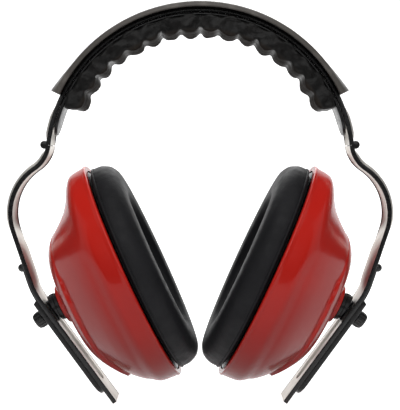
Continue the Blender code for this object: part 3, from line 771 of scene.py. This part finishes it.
def scallop_tree():
    """Geometry nodes: round lobes side by side round the arch, joined to the pad's flat core."""
    tree, given = start_tree("pad_scallops", "Core", {
        "Lobes": "Int", "Pitch": "Float", "Reach": "Float", "Arch Centre": "Float",
        "Half Length": "Float", "Half Depth": "Float", "Width": "Float", "Seed": "Int",
        "Material": "Material"}, "Pad")
    points = node(tree, "GeometryNodePoints", {"Count": given["Lobes"]})
    last = maths(tree, "SUBTRACT", given["Lobes"], 1.0)
    from_middle = maths(tree, "SUBTRACT", node(tree, "GeometryNodeInputIndex").outputs[0],
                        maths(tree, "MULTIPLY", last, 0.5))
    angle = maths(tree, "MULTIPLY", from_middle, given["Pitch"])
    x = maths(tree, "MULTIPLY", maths(tree, "SINE", angle), given["Reach"])
    up = maths(tree, "MULTIPLY", maths(tree, "COSINE", angle), given["Reach"])
    place = node(tree, "ShaderNodeCombineXYZ", {
        "X": x, "Z": maths(tree, "ADD", up, given["Arch Centre"])})
    placed = node(tree, "GeometryNodeSetPosition", {
        "Geometry": points.outputs[0], "Position": place.outputs[0]})
    lobe = node(tree, "GeometryNodeMeshCylinder", {
        "Vertices": 40, "Radius": 1.0, "Depth": given["Width"]})
    laid = node(tree, "GeometryNodeTransform", {
        "Geometry": lobe.outputs["Mesh"], "Rotation": (math.radians(90), 0.0, 0.0)})
    grow = node(tree, "FunctionNodeRandomValue", {"Seed": given["Seed"]})
    limits = {"Min": LOBE_LEAST, "Max": LOBE_MOST}
    for socket in grow.inputs:
        if socket.type == "VALUE" and socket.name in limits:
            socket.default_value = limits[socket.name]
    growth = [out for out in grow.outputs if out.type == "VALUE"][0]
    size = node(tree, "ShaderNodeCombineXYZ", {
        "X": maths(tree, "MULTIPLY", given["Half Length"], growth), "Y": 1.0,
        "Z": maths(tree, "MULTIPLY", given["Half Depth"], growth)})
    turn = node(tree, "ShaderNodeCombineXYZ", {"Y": angle})
    lobes = node(tree, "GeometryNodeInstanceOnPoints", {
        "Points": placed.outputs[0], "Instance": laid.outputs[0],
        "Rotation": turn.outputs[0], "Scale": size.outputs[0]})
    return end_tree(tree, given["Core"], lobes, given["Material"])


def apply_tree(made, tree, values):
    """Run a node tree on a piece with its named inputs, and keep the plain mesh."""
    change = made.modifiers.new(tree.name, "NODES")
    change.node_group = tree
    for item in tree.interface.items_tree:
        if item.item_type == "SOCKET" and item.in_out == "INPUT" and item.name in values:
            change[item.identifier] = values[item.name]
    return settle(made)


def remesh(made, voxel):
    change = made.modifiers.new("remesh", "REMESH")
    change.mode = "VOXEL"
    change.voxel_size = voxel
    return settle(made)


def soften(made, rounds):
    change = made.modifiers.new("soften", "SMOOTH")
    change.factor = 0.5
    change.iterations = rounds
    return settle(made)


def subdivide(made, levels):
    change = made.modifiers.new("subdivide", "SUBSURF")
    change.levels = levels
    change.render_levels = levels
    return settle(made)


def head_pad():
    """Scalloped pad: lobes and core melted together, then gathered into small wrinkles."""
    stations, angles = arch(-PAD_END + 1.5, PAD_END - 1.5)
    top = -STEEL_THICK / 2 - GAP - LEAF_THICK - GAP
    core_low = -PAD_DEPTH + 4.0 * MM

    def section(i):
        full = min(1.0, (PAD_END - abs(angles[i])) / PAD_TAPER)
        low = top + (core_low - top) * (0.45 + 0.55 * math.sqrt(full))
        return rounded_box(low, top - 0.1 * MM, PAD_WIDTH / 2 - 0.4 * MM, 1.2 * MM)

    made = new_object("scalloped_pad", sweep(stations, section), MATERIALS["pad"])
    apply_tree(made, scallop_tree(), {
        "Lobes": LOBES, "Pitch": math.radians(LOBE_PITCH),
        "Reach": ARCH_RADIUS - PAD_DEPTH + LOBE_DEEP, "Arch Centre": ARCH_CENTRE,
        "Half Length": LOBE_LONG, "Half Depth": LOBE_DEEP, "Width": PAD_WIDTH - 1.0 * MM,
        "Seed": 7, "Material": MATERIALS["pad"]})
    remesh(made, PAD_VOXEL)
    soften(made, 1)
    subdivide(made, 1)
    normals = [vertex.normal.copy() for vertex in made.data.vertices]
    for vertex, normal in zip(made.data.vertices, normals):
        co = vertex.co.copy()
        reach = math.hypot(co.x, co.z - ARCH_CENTRE)
        if reach < ARCH_RADIUS + top - 0.6 * MM:
            fold = noise.noise(co * 300.0) * FINE_FOLD + noise.noise(co * 110.0) * BROAD_FOLD
            side = smooth_step((abs(co.y) - PAD_WIDTH * 0.36) / (PAD_WIDTH * 0.1))
            vertex.co = co + normal * fold * (0.45 + 0.55 * side)
    finished(made, "headband", ["head_pad"], 80)


def build_headband():
    trim = edging(arch(-ARCH_END, ARCH_END)[0])
    for name, shape, material, slot, stands_for, angle in (
        ("band_cover_shell", cover_shape(), "cover", "cover_plastic", ["band_cover"], 32),
        ("band_steel", band_steel_shape(), "steel", "spring_steel", ["band_spring"], 38),
        ("band_trim", trim, "enamel", "black_fitting", [], 38),
        ("pad_leaf", leaf_shape(), "black", "black_plastic", ["pad_backing"], 38),
    ):
        made = new_object(name, shape, MATERIALS[material])
        finished(made, "headband", stands_for, angle)
    head_pad()


# ---------------------------------------------------------------- arm

def camber_at(distance):
    """How far the strip's middle stands out of its edges: out in the bends, in down the run."""
    start = smooth_step(distance / (6 * MM))
    into_run = smooth_step((distance - RUN_FROM + 6 * MM) / (16 * MM))
    into_tail = smooth_step((distance - TAIL_AT + 12 * MM) / (11 * MM))
    return start * (ARM_CAMBER * (1 - into_run) - RUN_CAMBER * into_run * (1 - into_tail))


def cambered(bulge, half, thick, across=8):
    """Section of a strip whose middle stands out of its edges."""
    middle = []
    for k in range(across + 1):
        y = half * (2 * k / across - 1)
        middle.append((bulge * (1 - (y / half) ** 2), y))
    return [(mid + thick, y) for mid, y in middle] + [(mid - thick, y) for mid, y in reversed(middle)]


def arm_shape():
    """Steel strip, cambered through its bends and flat along the tail."""
    return sweep(ARM_STATIONS, lambda i: cambered(
        camber_at(ARM_PATH[i][2]), STEEL_WIDTH / 2, STEEL_THICK / 2))


def slot_tool():
    """The slot's outline, cut right through the tail and the rail."""
    outline = arc(0.0, 0.0, SLOT_WIDTH / 2, -90, 90, 16)
    outline += arc(-SLIDE_TRAVEL, 0.0, SLOT_WIDTH / 2, 90, 270, 16)
    return put(skin([[(x, y, z) for x, y in outline] for z in (-SLOT_CUT, SLOT_CUT)]), CLAMP)


def rail_shape():
    """Plastic rail: thin under the rivet, thick along the slot, round at its lower end."""
    base = STEEL_THICK / 2 + 0.1 * MM
    first = -RIVET_UP - 3.0 * MM
    step_at = CLAMP_DOWN - RAIL_ABOVE_CLAMP
    last = TAIL_RUN - RAIL_TAIL_MARGIN
    count = 70
    distances = [first + (last - first) * i / count for i in range(count + 1)]
    extra = [step_at - 0.5 * MM, step_at + 0.3 * MM]
    extra += [last - RAIL_WIDTH / 2 * (1 - math.cos(math.radians(9 * i))) for i in range(1, 10)]
    distances = sorted(set(distances + extra))

    def section(i):
        at = distances[i]
        rise = smooth_step((at - step_at) / (0.8 * MM) + 0.5)
        thick = RAIL_LIP_THICK + (RAIL_THICK - RAIL_LIP_THICK) * rise
        half = RAIL_WIDTH / 2
        for end in (last - at, at - first):
            if end < RAIL_WIDTH / 2:
                share = 1 - end / (RAIL_WIDTH / 2)
                half = max(1.2 * MM, min(half, RAIL_WIDTH / 2 * math.sqrt(1 - share * share)))
        edge = min(0.7 * MM, thick * 0.4)
        return rounded_box(base, base + thick, half, edge)

    stations = []
    for at in distances:
        point, heading = on_arm(at)
        stations.append((point, heading_out(heading)))
    return sweep(stations, section)


def rivet_shape():
    """Domed rivet through the rail's thin end."""
    base = STEEL_THICK / 2 + RAIL_LIP_THICK + 0.1 * MM
    inner = -STEEL_THICK / 2
    profile = [(0.4 * MM, inner - 0.8 * MM), (1.7 * MM, inner - 0.6 * MM), (2.0 * MM, inner)]
    profile += [(1.2 * MM, inner), (1.2 * MM, base)]
    profile += arc(0.0, base + 0.57 * RIVET_HEAD, RIVET_HEAD, -35, 85, 8)
    point, heading = on_arm(-RIVET_UP)
    out = heading_out(heading)
    up = -heading_down(heading)
    place = axes((point.x, 0.0, point.y), (up.x, 0.0, up.y), (out.x, 0.0, out.y))
    return put(turned(profile, 40), place)


def knuckle_shape(low, high):
    """A rounded barrel along the hinge pin."""
    return put(rod(KNUCKLE_RADIUS, low, high, 0.45 * MM), Matrix.Translation(PIN) @ ALONG_Y)


def ears_shape():
    half = STEEL_WIDTH / 2 + 0.1 * MM
    inner = CENTRE_KNUCKLE / 2 + GAP
    return join(knuckle_shape(-half, -inner), knuckle_shape(inner, half))


def build_arms():
    side_pieces("arm_strip", arm_shape, "steel", "{}_arm", ["arm"], 30,
                tools=lambda: [slot_tool()])
    side_pieces("arm_trim", lambda: edging(ARM_STATIONS), "enamel", "{}_arm")
    side_pieces("rail_moulding", rail_shape, "black", "{}_arm", ["slide_rail"],
                tools=lambda: [slot_tool()])
    side_pieces("rail_rivet_head", rivet_shape, "enamel", "{}_arm", ["rail_rivet"])
    side_pieces("hinge_ears", ears_shape, "enamel", "headband")
    side_pieces("hinge_knuckle",
                lambda: knuckle_shape(-CENTRE_KNUCKLE / 2, CENTRE_KNUCKLE / 2),
                "enamel", "{}_arm")


# ---------------------------------------------------------------- clamp and swivel

def grip_tree():
    """Geometry nodes: grip ribs round a knob, joined to the knob itself."""
    tree, given = start_tree("knob_grips", "Knob", {
        "Ribs": "Int", "Radius": "Float", "Rib": "Float", "Length": "Float", "Foot": "Float",
        "Material": "Material"}, "Gripped")
    circle = node(tree, "GeometryNodeMeshCircle", {
        "Vertices": given["Ribs"], "Radius": given["Radius"]})
    lift = node(tree, "ShaderNodeCombineXYZ", {"Z": given["Foot"]})
    raised = node(tree, "GeometryNodeTransform", {
        "Geometry": circle.outputs[0], "Translation": lift.outputs[0]})
    rib = node(tree, "GeometryNodeMeshUVSphere", {"Segments": 12, "Rings": 8, "Radius": 1.0})
    size = node(tree, "ShaderNodeCombineXYZ", {
        "X": given["Rib"], "Y": given["Rib"], "Z": given["Length"]})
    ribs = node(tree, "GeometryNodeInstanceOnPoints", {
        "Points": raised.outputs[0], "Instance": rib.outputs[0], "Scale": size.outputs[0]})
    return end_tree(tree, given["Knob"], ribs, given["Material"])


def build_knobs():
    """Clamp knob with a domed top, a shallow ring in it and grip ribs round it."""
    tree = grip_tree()
    top = RAIL_TOP + KNOB_LENGTH
    profile = [(2.2 * MM, RAIL_TOP + 0.05 * MM), (KNOB_RADIUS - 0.5 * MM, RAIL_TOP + 0.05 * MM),
               (KNOB_RADIUS - 0.15 * MM, RAIL_TOP + 0.4 * MM), (KNOB_RADIUS - 0.15 * MM, top - 1.0 * MM)]
    for degrees in (18, 36, 54, 72, 90):
        a = math.radians(degrees)
        profile.append((KNOB_RADIUS - 1.0 * MM + 0.85 * MM * math.cos(a),
                        top - 1.0 * MM + 0.9 * MM * math.sin(a)))
    profile += [(2.2 * MM, top), (1.9 * MM, top - 0.3 * MM), (1.2 * MM, top - 0.35 * MM)]
    for side, turn in HALF_TURN.items():
        made = new_object(f"{side}_knob_cap", turned(profile, 48), MATERIALS["enamel"])
        apply_tree(made, tree, {
            "Ribs": 14, "Radius": KNOB_RADIUS - 0.2 * MM, "Rib": 0.42 * MM, "Length": 1.75 * MM,
            "Foot": RAIL_TOP + 2.1 * MM, "Material": MATERIALS["enamel"]})
        made.data.transform(turn @ CLAMP)
        finished(made, f"{side}_knob", [f"{side}_clamp_knob"])


def barrel_shape():
    """Swivel barrel with a groove round its foot and a rounded collar."""
    low = -PIN_ABOVE_BOSS + GAP
    groove = BARREL_RADIUS - GROOVE_DEPTH
    profile = [
        (BARREL_NECK, DOME_TOP - WALL - GAP), (BARREL_NECK, DOME_TOP + GAP),
        (BARREL_BORE, DOME_TOP + GAP), (BARREL_BORE, low), (BARREL_RADIUS - 0.5 * MM, low),
        (BARREL_RADIUS, low + 0.4 * MM), (BARREL_RADIUS, low + 1.3 * MM),
        (groove, low + 1.5 * MM), (groove, low + 1.9 * MM), (BARREL_RADIUS, low + 2.1 * MM),
        (BARREL_RADIUS, 6 * MM),
    ]
    return put(turned(profile, 64), CUP)


def barrel_tools():
    """What lies past the clamp plate, and the slot that the eye bolt's eye turns in."""
    reach, end = BARREL_CUT, BARREL_CUT_END
    beyond = block((-reach, -reach, SHOE_FACE - 1.05 * MM), (reach, reach, end))
    half = EYE_THICK / 2 + GAP
    slot = block((-reach, -half, -EYE_RADIUS - GAP), (reach, half, end))
    return [put(beyond, CLAMP), put(slot, CUP)]


def shoe_shape():
    """Thin clamp plate with rounded edges and the bush that runs in the slot."""
    low = SHOE_FACE
    rings = []
    for inset, rise in ((0.25, 0.0), (0.0, 0.2), (0.0, 0.4), (0.2, 0.5)):
        reach = SHOE_HALF - inset * MM
        ring = rounded_box(-reach, reach, reach, 1.0 * MM)
        rings.append([(x, y, low + rise * MM) for x, y in ring])
    bush = turned([(2.1 * MM, low + 0.1 * MM), (2.7 * MM, low + 0.1 * MM), (2.7 * MM, 1.0 * MM),
                   (2.1 * MM, 1.0 * MM)], 40, closed=True)
    return put(join(skin(rings), bush), CLAMP)


def eye_bolt_shape():
    shank = rod(1.8 * MM, -PIVOT_DEPTH, RAIL_TOP + KNOB_LENGTH - 1.3 * MM, 0.3 * MM)
    eye = put(rod(EYE_RADIUS, -EYE_THICK / 2, EYE_THICK / 2, 0.3 * MM),
              Matrix.Translation((0.0, 0.0, -PIVOT_DEPTH)) @ ALONG_Y)
    return put(join(shank, eye), CLAMP)


def build_clamps():
    build_knobs()
    side_pieces("clamp_plate", shoe_shape, "black", "{}_clamp", ["slide_shoe"])
    side_pieces("eye_bolt_turned", eye_bolt_shape, "bright", "{}_clamp", ["eye_bolt"])
    side_pieces("swivel_barrel", barrel_shape, "black", "{}_swivel",
                ["pivot_barrel"], tools=barrel_tools)
    side_pieces("cross_pin_turned",
                lambda: put(rod(PIN_RADIUS, -PIN_HALF, PIN_HALF, 0.25 * MM), CUP @ ALONG_Y),
                "bright", "{}_swivel", ["cross_pin"])


# ---------------------------------------------------------------- cup

def dome_at(share):
    """Reach up, reach down and half width of the dome at a share of its height, smoothed."""
    rows = DOME_SHARES
    i = max(k for k in range(len(rows) - 1) if rows[k][0] <= share + 1e-9)
    before = rows[max(0, i - 1)]
    low, high = rows[i], rows[i + 1]
    after = rows[min(len(rows) - 1, i + 2)]
    span = high[0] - low[0]
    t = (share - low[0]) / span
    made = []
    for k in (1, 2, 3):
        slope_low = (high[k] - before[k]) / max(1e-6, high[0] - before[0]) * span
        slope_high = (after[k] - low[k]) / max(1e-6, after[0] - low[0]) * span
        t2, t3 = t * t, t * t * t
        made.append((2 * t3 - 3 * t2 + 1) * low[k] + (t3 - 2 * t2 + t) * slope_low
                    + (3 * t2 - 2 * t3) * high[k] + (t3 - t2) * slope_high)
    return made[0] * CUP_HALF_LENGTH, made[1] * CUP_HALF_LENGTH, made[2] * CUP_HALF_WIDTH


def oval(up, down, wide, z, rise=CUP_RISE, facets=CUP_FACETS):
    """A ring that reaches up (+X) and down (-X) by different amounts."""
    ring = []
    for i in range(facets):
        a = 2 * math.pi * i / facets
        reach = up if math.cos(a) > 0 else down
        ring.append((rise + reach * math.cos(a), wide * math.sin(a), z))
    return ring


def dome_shares(count):
    """Shares of the dome's height, spaced evenly along its lower profile."""
    fine = [i / 600 for i in range(601)]
    lengths = [0.0]
    for low, high in zip(fine, fine[1:]):
        drop = dome_at(low)[1] - dome_at(high)[1]
        lengths.append(lengths[-1] + math.hypot(drop, (high - low) * CUP_DEPTH))
    shares = []
    k = 0
    for i in range(count + 1):
        want = lengths[-1] * i / count
        while k < 599 and lengths[k + 1] < want:
            k += 1
        part = (want - lengths[k]) / (lengths[k + 1] - lengths[k])
        shares.append(fine[k] + (fine[k + 1] - fine[k]) * part)
    return shares


def panel_mask(x, y):
    """How fully a place lies on the raised panel, from 0 to 1."""
    half = along([(a * MM, b * MM) for a, b in PANEL], x)
    if half <= 0.0:
        return 0.0
    return smooth_step((half - abs(y)) / PANEL_EDGE + 0.5)


def cup_shape():
    """Red shell: lipped rim, dome with its raised panel, stepped boss, bored hub and inner wall."""
    rings = []
    for inset, rise in RIM:
        reach = CUP_HALF_LENGTH - inset * MM
        rings.append(oval(reach, reach, CUP_HALF_WIDTH - inset * MM, FACE + rise * MM))
    for share in dome_shares(DOME_RINGS):
        if share * CUP_DEPTH > RIM_HEIGHT:
            rings.append(oval(*dome_at(share), FACE + share * CUP_DEPTH))
    for k in range(1, 7):
        t = k / 6
        reaches = (reach + (HUB_RADIUS - reach) * t for reach in dome_at(1.0))
        rings.append(oval(*reaches, DOME_TOP, CUP_RISE * (1 - t)))
    panel_rings = len(rings) + 1
    for radius, rise in BOSS:
        rings.append(oval(radius * MM, radius * MM, radius * MM, DOME_TOP + rise * MM, 0.0))
    for k in range(WALL_RINGS, -1, -1):
        share = k / WALL_RINGS
        up, down, wide = dome_at(share)
        high = share * CUP_DEPTH
        rings.append(oval(up - WALL, down - WALL, wide - WALL, FACE + high - min(WALL, high / 4)))
    bm = skin(rings, closed=True)
    bmesh.ops.recalc_face_normals(bm, faces=bm.faces)
    bm.normal_update()
    bm.verts.ensure_lookup_table()
    for vertex in list(bm.verts)[:panel_rings * CUP_FACETS]:
        high = vertex.co.z - FACE
        fade = smooth_step((high - 8 * MM) / (7 * MM))
        mask = panel_mask(vertex.co.x - CUP_RISE, vertex.co.y)
        fade *= 1 - 0.8 * smooth_step((vertex.co.x - 8 * MM) / (16 * MM))
        vertex.co -= vertex.normal * PANEL_STEP * fade * (1 - mask)
    return put(bm, CUP)


def cushion_base(shrink):
    """Ring cushion, drawn in a little from its named sizes to leave room for the fill."""
    ring_width = CUSHION_HALF_LENGTH - OPENING_HALF_LENGTH
    share = (CUSHION_HALF_WIDTH - OPENING_HALF_WIDTH) / ring_width
    front = FACE - CUSHION_THICK + shrink
    back = FACE - 0.1 * MM
    outer, hole, edge = 8.5 * MM, 5.0 * MM, 2.0 * MM
    profile = []
    for inset, z, radius, start, end in (
        (edge + shrink, back - edge, edge, 90, 180), (outer + shrink, front + outer, outer, 180, 270),
        (ring_width - hole - shrink * 0.4, front + hole, hole, 270, 360),
        (ring_width - edge - shrink * 0.4, back - edge, edge, 0, 90),
    ):
        profile += arc(inset, z, radius, start, end, max(2, round(radius / MM)))
    rings = []
    for inset, z in profile:
        long = CUSHION_HALF_LENGTH - inset
        rings.append(oval(long, long, CUSHION_HALF_WIDTH - inset * share, z, facets=120))
    return skin(rings, closed=True)


def fill(made, pressure, cap, held_above):
    """Run a soft piece as cloth under pressure; points above a height (local Z) stay put.

    On the ear cushions it moves no point by as much as 0.1 mm, so their form is the ring's own.
    """
    scene = bpy.context.scene
    start = [vertex.co.copy() for vertex in made.data.vertices]
    held = made.vertex_groups.new(name="held")
    for index, co in enumerate(start):
        if co.z > held_above:
            held.add([index], 1.0, "REPLACE")
    cloth = made.modifiers.new("filling", "CLOTH")
    cloth.settings.use_pressure = True
    cloth.settings.uniform_pressure_force = pressure
    cloth.settings.effector_weights.gravity = 0.0
    cloth.settings.vertex_group_mass = held.name
    cloth.settings.tension_stiffness = 20.0
    cloth.settings.bending_stiffness = 1.5
    cloth.point_cache.frame_start = 1
    cloth.point_cache.frame_end = FILL_FRAMES
    for number in range(1, FILL_FRAMES + 1):
        scene.frame_set(number)
    settle(made)
    scene.frame_set(1)
    for vertex, before in zip(made.data.vertices, start):
        moved = vertex.co - before
        if moved.length > cap:
            vertex.co = before + moved * (cap / moved.length)
    made.vertex_groups.clear()
    return made


def build_cushions():
    """Both ear cushions: one ring, run as cloth, subdivided, smoothed and kept off its pair."""
    made = new_object("left_cushion_skin", cushion_base(CUSHION_SLACK), MATERIALS["cushion"])
    remesh(made, CUSHION_VOXEL)
    fill(made, FILL_PRESSURE, FILL_CAP, FACE - HELD_BACK)
    subdivide(made, 1)
    soften(made, 3)
    made.data.transform(CUP)
    for vertex in made.data.vertices:
        vertex.co.x = min(vertex.co.x, -CUSHION_CLEAR)
    other = bpy.data.objects.new("right_cushion_skin", made.data.copy())
    bpy.context.scene.collection.objects.link(other)
    other.data.transform(HALF_TURN["right"])
    for side, each in (("left", made), ("right", other)):
        finished(each, f"{side}_cup", [f"{side}_ear_cushion"], 80)


def seam_shape():
    """Welted seam round the back of the cushion, where its skin turns under."""
    rings = []
    for grow, z in arc(-SEAM_INSET, FACE - SEAM_DOWN, SEAM_RADIUS, 0, 324, 9):
        long = CUSHION_HALF_LENGTH + grow
        rings.append(oval(long, long, CUSHION_HALF_WIDTH + grow, z))
    return put(skin(rings, closed=True), CUP)


def foam_shape(low, high, crown):
    """A foam disc shaped to the dome, its ear side crowned, its edge rounded."""
    rings = []
    inset = WALL + 1.2 * MM
    up, down, wide = dome_at(min(1.0, (high + inset) / CUP_DEPTH))
    up, down, wide = up - inset, down - inset, wide - inset
    for share in (0.05, 0.25, 0.45, 0.65, 0.82, 0.93):
        rings.append(oval(up * share, down * share, wide * share,
                          FACE + low - crown * (1 - share * share), facets=96))
    edge = 0.8 * MM
    for degrees in (20, 50, 80):
        a = math.radians(degrees)
        grow = edge * (math.sin(a) - 1)
        rings.append(oval(up + grow, down + grow, wide + grow,
                          FACE + low + edge * (1 - math.cos(a)), facets=96))
    rings.append(oval(up, down, wide, FACE + high, facets=96))
    bm = skin(rings)
    for vertex in bm.verts:
        vertex.co.z += noise.noise(vertex.co * 140.0) * 0.35 * MM
    return put(bm, CUP)


def build_cups():
    side_pieces("cup_moulding", cup_shape, "red", "{}_cup", ["cup_shell"], 50)
    side_pieces("cushion_seam", seam_shape, "cushion", "{}_cup")
    side_pieces("ear_foam", lambda: foam_shape(LINER_FROM, LINER_FROM + LINER_THICK, FOAM_CROWN),
                "foam", "{}_cup", ["foam_liner"], 60)
    side_pieces("core_foam", lambda: foam_shape(LINER_FROM + LINER_THICK + GAP, CORE_TOP, 0.0),
                "foam", "{}_cup", ["sound_foam"], 60)
    build_cushions()


# ---------------------------------------------------------------- carried-over nodes

def coat_small_parts():
    """Give the frame's own small nodes their finishes."""
    finishes = {
        "hinge_pin": "enamel", "knob_insert": "bright", "swivel_cap": "black",
        "swivel_screw": "bright", "seal_plate": "black",
    }
    for side in HALF_TURN:
        for name, finish in finishes.items():
            data = frame["nodes"][f"{side}_{name}"].data
            data.materials.clear()
            data.materials.append(MATERIALS[finish])


# ---------------------------------------------------------------- studio

def build_studio():
    """Pale sweep left out of diffuse light, camera, lights, and a world dim but to the camera."""
    floor_at = cad_low.z - 0.4 * MM
    outline = [(SWEEP_FRONT, floor_at)]
    outline += arc(SWEEP_BEND_FROM, floor_at + SWEEP_BEND, SWEEP_BEND, -90, 0, 12)
    outline.append((SWEEP_BEND_FROM + SWEEP_BEND, SWEEP_TOP))
    bm = bmesh.new()
    rows = [[bm.verts.new((x, y, z)) for y, z in outline] for x in (-SWEEP_HALF, SWEEP_HALF)]
    for i in range(len(outline) - 1):
        bm.faces.new((rows[0][i], rows[1][i], rows[1][i + 1], rows[0][i + 1]))
    sweep_cloth = new_object("studio_sweep", bm, pale_floor())
    sweep_cloth.data.shade_smooth()
    sweep_cloth.visible_diffuse = False

    camera = bpy.data.objects.new("camera", bpy.data.cameras.new("camera"))
    bpy.context.scene.collection.objects.link(camera)
    camera.location = (0.0, -EYE_BACK, EYE_HEIGHT)
    aim = Vector((0.0, 0.0, VIEW_CENTRE)) - camera.location
    camera.rotation_euler = aim.to_track_quat("-Z", "Y").to_euler()
    camera.data.sensor_width = SENSOR
    camera.data.lens = SENSOR * aim.length / VIEW_SPAN
    camera.data.clip_start = 0.01
    bpy.context.scene.camera = camera

    middle = Vector((0.0, 0.0, VIEW_CENTRE))
    for name, place, size, power in LIGHTS:
        lamp = bpy.data.lights.new(name, "AREA")
        lamp.size = size
        lamp.energy = power
        made = bpy.data.objects.new(name, lamp)
        bpy.context.scene.collection.objects.link(made)
        made.location = place
        made.rotation_euler = (middle - made.location).to_track_quat("-Z", "Y").to_euler()

    world = bpy.data.worlds.new("studio")
    bpy.context.scene.world = world
    world.use_nodes = True
    background = world.node_tree.nodes["Background"]
    background.inputs["Color"].default_value = (1.0, 1.0, 1.0, 1.0)
    rays = node(world.node_tree, "ShaderNodeLightPath").outputs["Is Camera Ray"]
    dim = node(world.node_tree, "ShaderNodeMapRange", {"Value": rays, "To Min": 0.10, "To Max": 1.0})
    world.node_tree.links.new(dim.outputs["Result"], background.inputs["Strength"])
    bpy.context.scene.view_settings.view_transform = "Standard"


build_headband()
build_arms()
build_clamps()
build_cups()
coat_small_parts()
build_studio()
